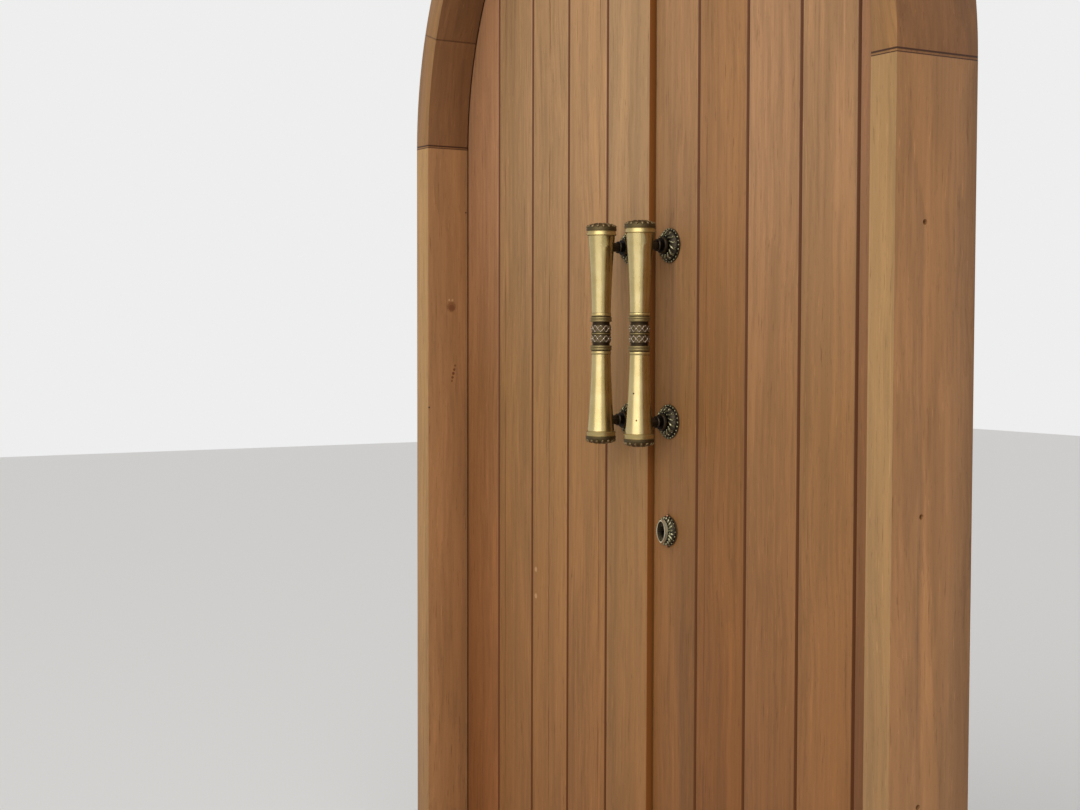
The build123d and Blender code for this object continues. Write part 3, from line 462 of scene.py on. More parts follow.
def timber(
    name,
    light,
    dark,
    shift,
    turn=(0, 0, 0),
    cracks=(),
    spots=(),
    tint_by_height=True,
    joint_face=None,
    front_light_tints=None,
    seams=(),
):
    """Oiled hardwood with its grain along Z before the turn."""
    material, tree, shader = new_material(name)
    grain = wandering_grain(tree, shift, turn)
    fibres = feature(tree, grain, "fibres")
    pores = span(tree, feature(tree, grain, "pores"), *PORE_LEVELS)
    colour = wood_colour(tree, grain, fibres, light, dark)
    if tint_by_height:
        colour = height_tint(tree, colour)
    colour = mixed(tree, product(tree, pores, PORE_COVER), colour, PORE_BROWN)
    relief = blended(tree, fibres, FIBRE_HEIGHT, product(tree, pores, PORE_DEPTH))
    for x, half_width, wander in cracks:
        line = crack(tree, x, half_width, wander)
        colour = mixed(tree, line, colour, CRACK_BROWN)
        relief = blended(tree, line, CRACK_DEPTH, relief)
    for place, radius, spot_colour in spots:
        colour = mixed(tree, spot(tree, place, radius), colour, linear(*spot_colour))
    if joint_face is not None:
        colour = joint_shade_and_rim(tree, colour, joint_face)
    if front_light_tints:
        colour = front_painted_light(tree, colour, *front_light_tints)
    for angle in seams:
        colour = seam(tree, colour, angle)
    tree.links.new(colour, shader.inputs["Base Color"])
    roughness = span(tree, fibres, *NOISE_RANGE, *WOOD_ROUGHNESS)
    tree.links.new(roughness, shader.inputs["Roughness"])
    shader.inputs["Specular IOR Level"].default_value = OIL_GLOSS
    emboss(tree, shader, relief, *WOOD_RELIEF)
    return material


# Boards

# The light wood of each board. Its dark wood follows from it
PLANK_LIGHT = {
    "left_plank_1": (167, 118, 87),
    "left_plank_2": (168, 126, 91),
    "left_plank_3": (175, 132, 95),
    "left_plank_4": (174, 130, 93),
    "left_plank_5": (167, 128, 94),
    "right_plank_1": (157, 114, 80),
    "right_plank_2": (153, 107, 70),
    "right_plank_3": (164, 120, 88),
    "right_plank_4": (168, 124, 90),
    "right_plank_5": (154, 108, 78),
}
LEDGE_LIGHT = (160, 116, 84)
JAMB_LIGHT = (168, 120, 77)
SILL_LIGHT = (150, 108, 76)
ARCH_LIGHT = (135, 92, 57)
PEG_LIGHT = (176, 138, 100)

# Each crack's place in X, its half width and how far it wanders
CRACKS = {
    "left_plank_2": [(-0.4955, 0.0014, 0.005)],
    "left_plank_3": [(-0.3290, 0.0017, 0.009)],
    "left_plank_4": [(-0.1560, 0.0012, 0.005)],
    "right_plank_2": [(0.1480, 0.0012, 0.004)],
}

# Each spot's place, radius and colour
FILLER_IN_PLANK = [
    ((-0.3770, 0.0170, 0.8410), 0.0055, (174, 132, 92)),
    ((-0.3770, 0.0170, 0.7890), 0.0055, (174, 132, 92)),
]
PLUG_IN_JAMB = [
    ((-0.6520, -0.0215, 1.3520), 0.0120, (126, 83, 50)),
    ((-0.6520, -0.0205, 1.3500), 0.0075, (112, 70, 42)),
    ((-0.6520, -0.0265, 1.3660), 0.0024, (184, 144, 100)),
    ((-0.6520, -0.0190, 1.3655), 0.0028, (176, 134, 92)),
]
SCAR_ON_JAMB = [
    ((-0.6520, -0.0130, 1.2310), 0.0028, (116, 72, 42)),
    ((-0.6520, -0.0150, 1.2230), 0.0034, (108, 64, 36)),
    ((-0.6520, -0.0170, 1.2150), 0.0036, (104, 60, 34)),
    ((-0.6520, -0.0190, 1.2070), 0.0034, (108, 64, 36)),
    ((-0.6520, -0.0205, 1.2000), 0.0026, (116, 72, 42)),
]
NAIL_HOLES_IN_JAMB = [
    ((-0.6520, -0.0730, 1.1460), 0.0022, (60, 34, 20)),
    ((-0.6520, 0.0120, 1.5460), 0.0022, (84, 50, 30)),
]
SPOTS = {
    "left_plank_3": FILLER_IN_PLANK,
    "left_jamb": PLUG_IN_JAMB + SCAR_ON_JAMB + NAIL_HOLES_IN_JAMB,
}

# A board's number sets which part of the grain it shows, so that no two boards look alike.
# The planks are 1 to 10, and the arch's segments 61 to 69
FIRST_LEDGE = 20
FIRST_JAMB = 40
SILL_NUMBER = 50
BEFORE_ARCH = 60
PEG_NUMBER = 80
GRAIN_STEP = (0.371, 0.113, 0.917)

GRAIN_ALONG_X = (0, QUARTER_TURN, 0)

# How far each kind of board has its arrises eased
PLANK_EASE = 0.0007
LEDGE_EASE = 0.001
FRAME_EASE = 0.0012
EASE_STEPS = 2
# Edges sharper than this are eased, and flatter than this are shaded smooth
EASE_OVER = math.radians(30)
SMOOTH_UNDER = math.radians(40)
# Points this near are one, and faces this nearly in one plane are one, in radians
SAME_POINT = 0.00001
SAME_PLANE = 0.01


def board_material(name, light, number, turn=(0, 0, 0), **marks):
    shift = tuple(step * number for step in GRAIN_STEP)
    dark = (value * DARKER for value in light)
    return timber(name, linear(*light), linear(*dark), shift, turn, **marks)


def merged_copy(node):
    """A copy of a CAD board whose triangles are joined into its flat faces."""
    piece = nodes[node].copy()
    piece.data = nodes[node].data.copy()
    piece.name = "eased_" + node
    bpy.context.scene.collection.objects.link(piece)
    piece.parent = None
    bpy.ops.object.select_all(action="DESELECT")
    piece.select_set(True)
    bpy.context.view_layer.objects.active = piece
    bpy.ops.object.mode_set(mode="EDIT")
    bpy.ops.mesh.select_all(action="SELECT")
    bpy.ops.mesh.remove_doubles(threshold=SAME_POINT)
    bpy.ops.mesh.dissolve_limited(angle_limit=SAME_PLANE)
    bpy.ops.object.mode_set(mode="OBJECT")
    return piece


def eased(node, width, material):
    """A copy of a board with its arrises eased, which stands for the board."""
    piece = merged_copy(node)
    bevel = piece.modifiers.new("eased", "BEVEL")
    bevel.width = width
    bevel.segments = EASE_STEPS
    bevel.limit_method = "ANGLE"
    bevel.angle_limit = EASE_OVER
    bpy.ops.object.modifier_apply(modifier="eased")
    bpy.ops.object.shade_smooth_by_angle(angle=SMOOTH_UNDER)
    finish_with(piece, material)
    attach(piece, body_of[node])
    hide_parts(node)
    piece.select_set(False)


def finish_with(piece, material):
    piece.data.materials.clear()
    piece.data.materials.append(material)


def leaf_boards():
    for number, (node, light) in enumerate(PLANK_LIGHT.items(), 1):
        side = node.split("_")[0]
        marks = {
            "cracks": CRACKS.get(node, ()),
            "spots": SPOTS.get(node, ()),
            "joint_face": LEAF_FACE[side],
        }
        eased(node, PLANK_EASE, board_material(node, light, number, **marks))
    ledges = [node for node in nodes if "_ledge_" in node]
    for number, node in enumerate(ledges, FIRST_LEDGE):
        eased(node, LEDGE_EASE, board_material(node, LEDGE_LIGHT, number, GRAIN_ALONG_X))


def frame_boards():
    for number, side in enumerate(SIDES, FIRST_JAMB):
        node = side + "_jamb"
        marks = {
            "spots": SPOTS.get(node, ()),
            "tint_by_height": False,
            "front_light_tints": JAMB_FRONT_LIGHT,
            "seams": (0,),
        }
        eased(node, FRAME_EASE, board_material(node, JAMB_LIGHT, number, **marks))
    eased("sill", FRAME_EASE, board_material("sill", SILL_LIGHT, SILL_NUMBER, GRAIN_ALONG_X))
    for number in range(1, ARCH_SEGMENTS + 1):
        arch_segment(number)


def arch_segment(number):
    """A sawn segment with its grain square to the line from the arch's centre."""
    node = f"arch_segment_{number}"
    low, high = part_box(node)
    middle = (low + high) / 2
    rise = middle.z - SPRINGING
    way_up, step = math.atan2(rise, middle.x), JOINT_STEP
    if number == CROWN_SEGMENT:
        way_up, step = QUARTER_TURN, CROWN_STEP
    marks = {
        "tint_by_height": False,
        "front_light_tints": ARCH_FRONT_LIGHT,
        "seams": (way_up - step / 2, way_up + step / 2),
    }
    turn = (0, QUARTER_TURN - math.atan2(middle.x, rise), 0)
    material = board_material(node, ARCH_LIGHT, BEFORE_ARCH + number, turn, **marks)
    eased(node, FRAME_EASE, material)


# Metal

# Each metal's cloud: its noise's scale, detail and roughness
BRASS_CLOUD = (34.0, 4.0, 0.6)
PATINA_CLOUD = (140.0, 4.0, 0.6)
STEEL_CLOUD = (60.0, 4.0, 0.6)
RELIEF_CLOUD = (420.0, 4.0, 0.65)

SATIN_BRASS = (linear(182, 163, 112), linear(194, 176, 128))
BRASS_LEVELS = (0.35, 0.7)
# The brushing changes this often in a metre, round a handle and along it
BRUSHED_ROUND = 900
BRUSHED_ALONG = 14
BRUSHED_DETAIL = 3.0
BRUSHED_ROUGHNESS = (0.24, 0.29)
CLOUD_ROUGHNESS = 0.05
BRUSHED_RELIEF = (0.04, 0.0002)
# Two small dents in the right handle, shown only as dark spots of painted shade
DENT_SHADE = linear(66, 44, 22)
DENTS = ((0.0540, -0.0513, 1.1975), (0.0606, -0.0494, 1.1520))
DENT_RADIUS = 0.0019

# The rubbed and the dark colour of each patina, and how rough it is where it is rubbed
ENGRAVED = (linear(178, 158, 106), linear(52, 40, 24), 0.34)
DARK_BRONZE = (linear(92, 82, 64), linear(24, 18, 14), 0.34)
HINGE_BRASS = (linear(170, 140, 84), linear(100, 78, 44), 0.38)
KEY_BRONZE = (linear(112, 100, 76), linear(26, 20, 15), 0.34)
RAISED_BRONZE = (linear(164, 158, 124), linear(48, 42, 26), 0.30)
RAISED_BRASS = (linear(134, 114, 80), linear(80, 60, 36), 0.36)
LATTICE = (linear(140, 124, 104), linear(76, 60, 46), 0.38)
# The studs are painted near white, as painted highlights
STUD_HIGHLIGHT = (linear(206, 194, 176), linear(140, 122, 100), 0.30)
COPPER = (linear(180, 130, 100), linear(110, 70, 50), 0.34)
# How much rougher the dark patina is than the rubbed metal
PATINA_ROUGHER = 0.2
PATINA_RELIEF = (0.2, 0.0004)
PATINA_METALLIC = 0.9
RELIEF_METALLIC = 0.85
# The values of its cloud between which relief is dark and rubbed
RELIEF_LEVELS = (0.34, 0.58)
# How pointed an edge of bronze and of brass is where it begins to be rubbed, how much the
# cloud adds to that, and over what spread the edge becomes bright
BRONZE_EDGE = 0.52
BRASS_EDGE = 0.5
EDGE_CLOUD = 0.05
EDGE_SPREAD = 0.07

STEEL = (linear(170, 170, 168), 0.3)
SCREW_STEEL = (linear(150, 138, 112), 0.35)
DULL_GREY = (0.1, 0.1, 0.1, 1)
# How much smoother and rougher than its own roughness steel is in places
STEEL_SPREAD = (-0.08, 0.12)

# A handle's polished rings start at this distance from its axis
RING_REACH = (0.0168, 0.0173)
# The lips and domes of its end caps start at this distance from its middle and are hardly
# rubbed. The twin rings of its collar end at this distance and are less rubbed than the rest
DOME_LEVELS = (0.1778, 0.1770)
DOME_RUB = 0.12
TWIN_RING_LEVELS = (0.0288, 0.0296)
TWIN_RING_RUB = 0.42
# The two engraved bands of a collar: their middles' distance from the handle's middle, how
# far they reach from there, and how much they are rubbed
BAND_MIDDLE = 0.00875
BAND_REACH = (0.0066, 0.0056)
BAND_RUB = 0.14

# Half the width and the height of the smooth collar round the keyhole. A pale highlight is
# painted outside this share of them, and only where it stands this proud of the leaf
KEY_COLLAR_HALF = (0.0125, 0.0200)
KEY_COLLAR_OUTSIDE = (0.86, 0.90)
KEY_COLLAR_PROUD = (0.0098, 0.0106)
KEY_COLLAR_HIGHLIGHT = linear(214, 208, 182)


def satin_brass(name):
    """Brushed brass with a faint cloud; two small dents in the right handle are painted shade."""
    material, tree, shader = new_material(name)
    place = stretched(tree, here(tree), BRUSHED_ROUND, BRUSHED_ROUND, BRUSHED_ALONG)
    brushed = noise(tree, place, 1.0, BRUSHED_DETAIL)
    cloud = noise(tree, here(tree), *BRASS_CLOUD)
    colour = mixed(tree, span(tree, cloud, *BRASS_LEVELS), *SATIN_BRASS)
    for dent in DENTS:
        colour = mixed(tree, spot(tree, dent, DENT_RADIUS), colour, DENT_SHADE)
    tree.links.new(colour, shader.inputs["Base Color"])
    rough = span(tree, brushed, *NOISE_RANGE, *BRUSHED_ROUGHNESS)
    rough = blended(tree, cloud, CLOUD_ROUGHNESS, rough)
    tree.links.new(rough, shader.inputs["Roughness"])
    shader.inputs["Metallic"].default_value = 1.0
    emboss(tree, shader, brushed, *BRUSHED_RELIEF)
    return material


def patinate(tree, shader, wear_and_highlight, bright, dark, roughness):
    """Colours a metal by how rubbed it is, from 0 to 1."""
    tree.links.new(mixed(tree, wear_and_highlight, dark, bright), shader.inputs["Base Color"])
    rough = span(tree, wear_and_highlight, 0, 1, roughness + PATINA_ROUGHER, roughness)
    tree.links.new(rough, shader.inputs["Roughness"])


def antique_metal(name, patina, edge=BRASS_EDGE, handle_middle=None):
    """Dark patina, rubbed bright along its edges or, on a handle, on its turned rings."""
    material, tree, shader = new_material(name)
    cloud = noise(tree, here(tree), *PATINA_CLOUD)
    if handle_middle:
        wear_and_highlight = turned_rings(tree, handle_middle)
    else:
        pointiness = put(tree, "NewGeometry").outputs["Pointiness"]
        edges = blended(tree, cloud, EDGE_CLOUD, pointiness)
        wear_and_highlight = span(tree, edges, edge, edge + EDGE_SPREAD)
    patinate(tree, shader, wear_and_highlight, *patina)
    shader.inputs["Metallic"].default_value = PATINA_METALLIC
    emboss(tree, shader, cloud, *PATINA_RELIEF)
    return material


def turned_rings(tree, handle_middle):
    """1 on a handle's polished rings, less on its twin rings, bands and domes, 0 in grooves."""
    away = vector_of(tree, "SUBTRACT", here(tree), handle_middle)
    reach = number_of(tree, "LENGTH", stretched(tree, away, 1, 1, 0))
    level = calc(tree, "ABSOLUTE", along(tree, away, "Z"))
    rings = span(tree, reach, *RING_REACH)
    rings = product(tree, rings, span(tree, level, *DOME_LEVELS, DOME_RUB))
    rings = product(tree, rings, span(tree, level, *TWIN_RING_LEVELS, TWIN_RING_RUB))
    bands = span(tree, distance(tree, level, BAND_MIDDLE), *BAND_REACH, 0, BAND_RUB)
    return calc(tree, "MAXIMUM", rings, bands)


def worn_relief(name, patina):
    """Cast relief with its patina rubbed off in places."""
    material, tree, shader = new_material(name)
    wear_and_highlight = span(tree, noise(tree, here(tree), *RELIEF_CLOUD), *RELIEF_LEVELS)
    patinate(tree, shader, wear_and_highlight, *patina)
    shader.inputs["Metallic"].default_value = RELIEF_METALLIC
    return material


def key_collar(name):
    """Dark bronze, with a pale grey highlight painted on the keyhole's smooth collar, outside."""
    material = antique_metal(name, KEY_BRONZE, BRONZE_EDGE)
    tree = material.node_tree
    base = next(n for n in tree.nodes if n.type == "BSDF_PRINCIPLED").inputs["Base Color"]
    low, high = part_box("outer_escutcheon")
    away = vector_of(tree, "SUBTRACT", here(tree), tuple((low + high) / 2))
    half_x, half_z = KEY_COLLAR_HALF
    share = number_of(tree, "LENGTH", stretched(tree, away, 1 / half_x, 0, 1 / half_z))
    height = calc(tree, "SUBTRACT", LEAF_FACE["right"], here_along(tree, "Y"))
    proud = span(tree, height, *KEY_COLLAR_PROUD)
    wear_and_highlight = product(tree, proud, span(tree, share, *KEY_COLLAR_OUTSIDE))
    bronze = base.links[0].from_socket
    tree.links.new(mixed(tree, wear_and_highlight, bronze, KEY_COLLAR_HIGHLIGHT), base)
    return material


def plain_steel(name, colour, roughness):
    material, tree, shader = new_material(name)
    cloud = noise(tree, here(tree), *STEEL_CLOUD)
    clouded = span(tree, cloud, *NOISE_RANGE)
    dull = midway(colour, DULL_GREY)
    tree.links.new(mixed(tree, clouded, colour, dull), shader.inputs["Base Color"])
    smoothest, roughest = (roughness + change for change in STEEL_SPREAD)
    rough = span(tree, cloud, *NOISE_RANGE, smoothest, roughest)
    tree.links.new(rough, shader.inputs["Roughness"])
    shader.inputs["Metallic"].default_value = 1.0
    return material


def collar_middle(side):
    low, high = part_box(side + "_handle_collar")
    return (low + high) / 2


def metalwork():
    """Gives every CAD piece that isn't a board its finish."""
    brass = satin_brass("satin_brass")
    engraved = {}
    for side in SIDES:
        middle = tuple(collar_middle(side))
        engraved[side] = antique_metal(side + "_engraved", ENGRAVED, handle_middle=middle)
    finish = {
        "satin_brass": brass,
        "dark_bronze": antique_metal("dark_bronze", DARK_BRONZE, BRONZE_EDGE),
        "hinge_brass": antique_metal("hinge_brass", HINGE_BRASS),
        "steel": plain_steel("steel", *STEEL),
        "screw_steel": plain_steel("screw_steel", *SCREW_STEEL),
        "peg_timber": board_material("peg_timber", PEG_LIGHT, PEG_NUMBER),
    }
    for node, obj in nodes.items():
        if slot_of[node] in finish:
            finish_with(obj, finish[slot_of[node]])
        if slot_of[node] == "engraved_brass":
            finish_with(obj, engraved[node.split("_")[0]])
    finish_with(nodes["outer_escutcheon"], key_collar("key_collar"))


# Cast ornament: forms and how they are set out

# A rounded form's faces round it and from end to end
FORM_SIDES = 8
FORM_RINGS = 5
# How far out the last ring of its points lies, and how near to that a point has to be, as
# shares of its half length, and how narrow that ring is drawn in to make a leaf's tip
TIP_LEVEL = math.cos(math.pi / FORM_RINGS)
TIP_WITHIN = 0.1
TIP_SHARE = 0.45
# Faces that meet at less than this are shaded smooth
ORNAMENT_SMOOTH = math.radians(50)

# A leaf's rib against the leaf: narrower, thicker and a little shorter
RIB_WIDTH = 0.22
RIB_THICKNESS = 1.35
RIB_LENGTH = 0.92

ROUND_Y = (0, 1, 0)
ROUND_Z = (0, 0, 1)

# Each turned profile as radius and height pairs, from the outside in
ROSETTE_PROFILE = [
    (0.0295, 0.0026),
    (0.0269, 0.0026),
    (0.0250, 0.0062),
    (0.0220, 0.0094),
    (0.0180, 0.0118),
    (0.0133, 0.0126),
]
CAP_PROFILE = [
    (0.0262, 0.0),
    (0.0257, 0.0030),
    (0.0243, 0.0056),
    (0.0222, 0.0075),
    (0.0195, 0.0087),
    (0.0140, 0.0100),
    (0.0070, 0.0111),
    (0.0, 0.0115),
]
ESCUTCHEON_PROFILE = [
    (0.0260, 0.0030),
    (0.0252, 0.0032),
    (0.0224, 0.0076),
    (0.0170, 0.0095),
    (0.0, 0.0095),
]


def open_piece(name):
    """An empty piece in edit mode, for forms to be added to."""
    piece = bpy.data.objects.new(name, bpy.data.meshes.new(name))
    bpy.context.scene.collection.objects.link(piece)
    bpy.ops.object.select_all(action="DESELECT")
    piece.select_set(True)
    bpy.context.view_layer.objects.active = piece
    bpy.ops.object.mode_set(mode="EDIT")
    return piece


def close_piece(piece, body, material):
    bpy.ops.mesh.select_all(action="SELECT")
    bpy.ops.mesh.normals_make_consistent(inside=False)
    bpy.ops.object.mode_set(mode="OBJECT")
    bpy.ops.object.shade_smooth_by_angle(angle=ORNAMENT_SMOOTH)
    piece.data.materials.append(material)
    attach(piece, body)
    piece.select_set(False)


def dab(place, size, turn=(0, 0, 0)):
    """Adds a small rounded form with these half sizes, turned about X, then Y, then Z."""
    bpy.ops.mesh.select_all(action="DESELECT")
    bpy.ops.mesh.primitive_uv_sphere_add(
        segments=FORM_SIDES,
        ring_count=FORM_RINGS,
        radius=1,
        location=place,
        rotation=turn,
        scale=size,
    )


def pointed(place, half_length, turn):
    """Draws in the outer end of the form that was just added, so that it ends in a leaf's tip."""
    ahead = Euler(turn).to_matrix() @ Vector((0, 0, 1))
    level = half_length * TIP_LEVEL
    mesh = bmesh.from_edit_mesh(bpy.context.object.data)
    for vertex in mesh.verts:
        out = (vertex.co - Vector(place)).dot(ahead)
        vertex.select = vertex.select and abs(out - level) < half_length * TIP_WITHIN
    mesh.select_flush_mode()
    bmesh.update_edit_mesh(bpy.context.object.data)
    middle = Vector(place) + ahead * level
    bpy.ops.transform.resize(value=(TIP_SHARE, TIP_SHARE, TIP_SHARE), center_override=middle)
    bpy.ops.mesh.select_linked()


def repeat(count, centre, axis):
    """Repeats the form that was just added evenly round an axis."""
    angle = FULL_TURN * (count - 1) / count
    bpy.ops.mesh.spin(steps=count - 1, dupli=True, angle=angle, center=centre, axis=axis)


def ring_of(count, centre, axis, place, size, turn=(0, 0, 0)):
    """A ring of small rounded forms."""
    dab(place, size, turn)
    repeat(count, centre, axis)


def leaf_ring(count, centre, profile, radius, size, lean):
    """A ring of ribbed leaves on a knob. size is half the width, the thickness and the length."""
    place = on_face(centre, profile, radius)
    turn = (face_tilt(profile, radius), lean, 0)
    dab(place, size, turn)
    pointed(place, size[2], turn)
    repeat(count, centre, ROUND_Y)
    half_width, thick, half_length = size
    rib = (half_width * RIB_WIDTH, thick * RIB_THICKNESS, half_length * RIB_LENGTH)
    ring_of(count, centre, ROUND_Y, place, rib, turn)


def height_and_slope(profile, radius):
    """How high a turned profile stands at a radius, and how steeply it rises outwards there."""
    for (outer, outer_height), (inner, inner_height) in zip(profile, profile[1:]):
        if inner <= radius <= outer:
            slope = (outer_height - inner_height) / (outer - inner)
            return inner_height + slope * (radius - inner), slope
    return profile[0][1], 0.0


def on_face(centre, profile, radius, way=0.0):
    """A place on a knob that stands on a leaf's face, way round from its top."""
    height = height_and_slope(profile, radius)[0]
    x = centre.x + radius * math.sin(way)
    z = centre.z + radius * math.cos(way)
    return (x, centre.y - height, z)


def face_tilt(profile, radius):
    return math.atan(height_and_slope(profile, radius)[1])


def on_collar(centre, level, way, lift=0.0):
    """A place on a collar's band, way round from +X, above or below the handle's middle."""
    reach = BAND_RADIUS + lift
    x = centre.x + reach * math.cos(way)
    y = centre.y + reach * math.sin(way)
    return (x, y, centre.z + level)


# Rosettes, where sizes are half a form's width, thickness and length

ROSETTE_LEAVES = 14
# The radius, size and lean of the long leaves and of the short ones outside them
LONG_LEAVES = (0.0203, (0.0015, 0.0022, 0.0055), 0.66)
SHORT_LEAVES = (0.0238, (0.0010, 0.0018, 0.0026), -0.60)
# The radius of each ring of studs, and how far round its first stud stands
STUD_RINGS = ((0.0163, 0.24), (0.0246, 0.10))
STUD_SIZE = (0.0009, 0.0018, 0.0009)
RIM_BEADS = 24
RIM_BEAD_RADIUS = 0.0278
RIM_BEAD_SIZE = (0.0017, 0.0018, 0.0014)


def post_places(side):
    """The centre of each rosette's back, on its leaf's face."""
    low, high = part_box(side + "_handle_posts")
    reach = ROSETTE_PROFILE[0][0]
    middle = (low.x + high.x) / 2
    face = LEAF_FACE[side]
    return [Vector((middle, face, low.z + reach)), Vector((middle, face, high.z - reach))]


def rosettes(side, material):
    """Leaning leaves in two rings with studs between, and a row of beads round the rim."""
    piece = open_piece(side + "_rosette_relief")
    for centre in post_places(side):
        for leaves in (LONG_LEAVES, SHORT_LEAVES):
            leaf_ring(ROSETTE_LEAVES, centre, ROSETTE_PROFILE, *leaves)
        for radius, way in STUD_RINGS:
            place = on_face(centre, ROSETTE_PROFILE, radius, way)
            ring_of(ROSETTE_LEAVES, centre, ROUND_Y, place, STUD_SIZE)
        place = on_face(centre, ROSETTE_PROFILE, RIM_BEAD_RADIUS)
        ring_of(RIM_BEADS, centre, ROUND_Y, place, RIM_BEAD_SIZE)
    close_piece(piece, side + "_leaf", material)


# End caps

# How many forms each ring has, its radius, and the forms' half sizes and lean: lobes at the
# rim, smaller ones inside them, and a whorl on the crown
CAP_RINGS = (
    (15, 0.0240, (0.0034, 0.0030, 0.0018), 0.0),
    (15, 0.0186, (0.0030, 0.0016, 0.0010), 0.45),
    (9, 0.0105, (0.0042, 0.0018, 0.0009), 0.60),
)


def cap_relief(side, material):
    """Lobes round both end caps and a small whorl on their crowns."""
    piece = open_piece(side + "_cap_relief")
    low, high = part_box(side + "_handle_caps")
    x, y = (low.x + high.x) / 2, (low.y + high.y) / 2
    dome = CAP_PROFILE[-1][1]
    for level, up in ((high.z - dome, 1), (low.z + dome, -1)):
        for count, radius, size, lean in CAP_RINGS:
            height, slope = height_and_slope(CAP_PROFILE, radius)
            place = (x + radius, y, level + up * height)
            turn = (0, -math.atan(up * slope), lean)
            ring_of(count, (x, y, level), ROUND_Z, place, size, turn)
    close_piece(piece, side + "_leaf", material)


# Collars

# Half the height of the lattice on each engraved band, and the band's radius
BAND_HALF = 0.0060
BAND_RADIUS = 0.0164
LATTICE_CROSSES = 10
# Half a line's thickness and width, and how much longer it is than its share of the lattice
LINE_THICKNESS = 0.0010
LINE_WIDTH = 0.0013
LINE_OVERLAP = 1.12
# The studs where the lines cross and the beads where they meet at the band's edges: half
# sizes and lift, and the beads' level as a share of BAND_HALF
CROSS_STUD = (0.0012, 0.0014, 0.0014)
CROSS_STUD_LIFT = 0.0004
EDGE_BEAD = (0.0009, 0.0010, 0.0010)
EDGE_BEAD_LIFT = 0.0002
EDGE_BEAD_LEVEL = 0.80


def collar_lattice(side, material, studs_material):
    """Two bands of crossed lines round the collar, with studs and beads where they meet."""
    centre = collar_middle(side)
    step = FULL_TURN / LATTICE_CROSSES
    half_cell = BAND_RADIUS * step / 2
    lean = math.atan2(half_cell, BAND_HALF)
    half_line = math.hypot(half_cell, BAND_HALF) / 2
    line_size = (LINE_THICKNESS, LINE_WIDTH, half_line * LINE_OVERLAP)
    lines = open_piece(side + "_collar_lattice")
    for middle in (BAND_MIDDLE, -BAND_MIDDLE):
        for way, rise, slant in (
            (step / 4, -0.5, -lean),
            (step * 3 / 4, 0.5, -lean),
            (step / 4, 0.5, lean),
            (step * 3 / 4, -0.5, lean),
        ):
            place = on_collar(centre, middle + rise * BAND_HALF, way)
            turn = (slant, 0, way)
            ring_of(LATTICE_CROSSES, centre, ROUND_Z, place, line_size, turn)
    close_piece(lines, side + "_leaf", material)
    studs = open_piece(side + "_collar_studs")
    for middle in (BAND_MIDDLE, -BAND_MIDDLE):
        place = on_collar(centre, middle, step / 2, CROSS_STUD_LIFT)
        ring_of(LATTICE_CROSSES, centre, ROUND_Z, place, CROSS_STUD, (0, 0, step / 2))
        for up in (-EDGE_BEAD_LEVEL, EDGE_BEAD_LEVEL):
            place = on_collar(centre, middle + BAND_HALF * up, 0, EDGE_BEAD_LIFT)
            ring_of(LATTICE_CROSSES, centre, ROUND_Z, place, EDGE_BEAD)
    close_piece(studs, side + "_leaf", studs_material)


# Outer escutcheon

ESCUTCHEON_LEAVES = 20
# The leaves reach from just outside the key collar to this radius, and a little further
ROOT_GAP = 0.0008
TIP_RADIUS = 0.0246
LEAF_OVERLAP = 1.10
# Half the width and thickness of a leaf and of its rib
LEAF_SECTION = (0.0023, 0.0021)
RIB_SECTION = (0.0006, 0.0029)
# The leaves lean towards the plate's top and foot, and no two lean or reach quite alike
FAN_LEAN = 0.45
LEAN_CHANGE = 0.22
LENGTH_CHANGE = 0.12
PLATE_BEAD_RADIUS = 0.0247
PLATE_BEAD = (0.0011, 0.0016, 0.0011)
FINIAL_RADIUS = 0.0259
FINIAL = (0.0022, 0.0024, 0.0022)


def fan_leaf(centre, number):
    """One ribbed leaf of the fan round the key collar."""
    way = FULL_TURN * (number + 0.5) / ESCUTCHEON_LEAVES
    half_x, half_z = KEY_COLLAR_HALF
    root = 1 / math.hypot(math.sin(way) / half_x, math.cos(way) / half_z) + ROOT_GAP
    radius = (root + TIP_RADIUS) / 2
    half_length = (TIP_RADIUS - root) / 2 * LEAF_OVERLAP
    half_length *= 1 + LENGTH_CHANGE * math.sin(2.3 * number)
    lean = FAN_LEAN * math.sin(2 * way) + LEAN_CHANGE * math.sin(3.1 * number)
    place = on_face(centre, ESCUTCHEON_PROFILE, radius, way)
    turn = (face_tilt(ESCUTCHEON_PROFILE, radius), way - lean, 0)
    dab(place, (*LEAF_SECTION, half_length), turn)
    pointed(place, half_length, turn)
    dab(place, (*RIB_SECTION, half_length * RIB_LENGTH), turn)


def escutcheon_relief(material, finial_material):
    """Ribbed leaves that fan out round the key collar, beads between them, and two finials."""
    low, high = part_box("outer_escutcheon")
    middle = (low + high) / 2
    centre = Vector((middle.x, LEAF_FACE["right"], middle.z))
    piece = open_piece("escutcheon_relief")
    for number in range(ESCUTCHEON_LEAVES):
        fan_leaf(centre, number)
    first_bead = FULL_TURN / ESCUTCHEON_LEAVES
    place = on_face(centre, ESCUTCHEON_PROFILE, PLATE_BEAD_RADIUS, first_bead)
    ring_of(ESCUTCHEON_LEAVES, centre, ROUND_Y, place, PLATE_BEAD)
    close_piece(piece, "right_leaf", material)
    finials = open_piece("escutcheon_finials")
    for way in (0, math.pi):
        dab(on_face(centre, ESCUTCHEON_PROFILE, FINIAL_RADIUS, way), FINIAL)
    close_piece(finials, "right_leaf", finial_material)


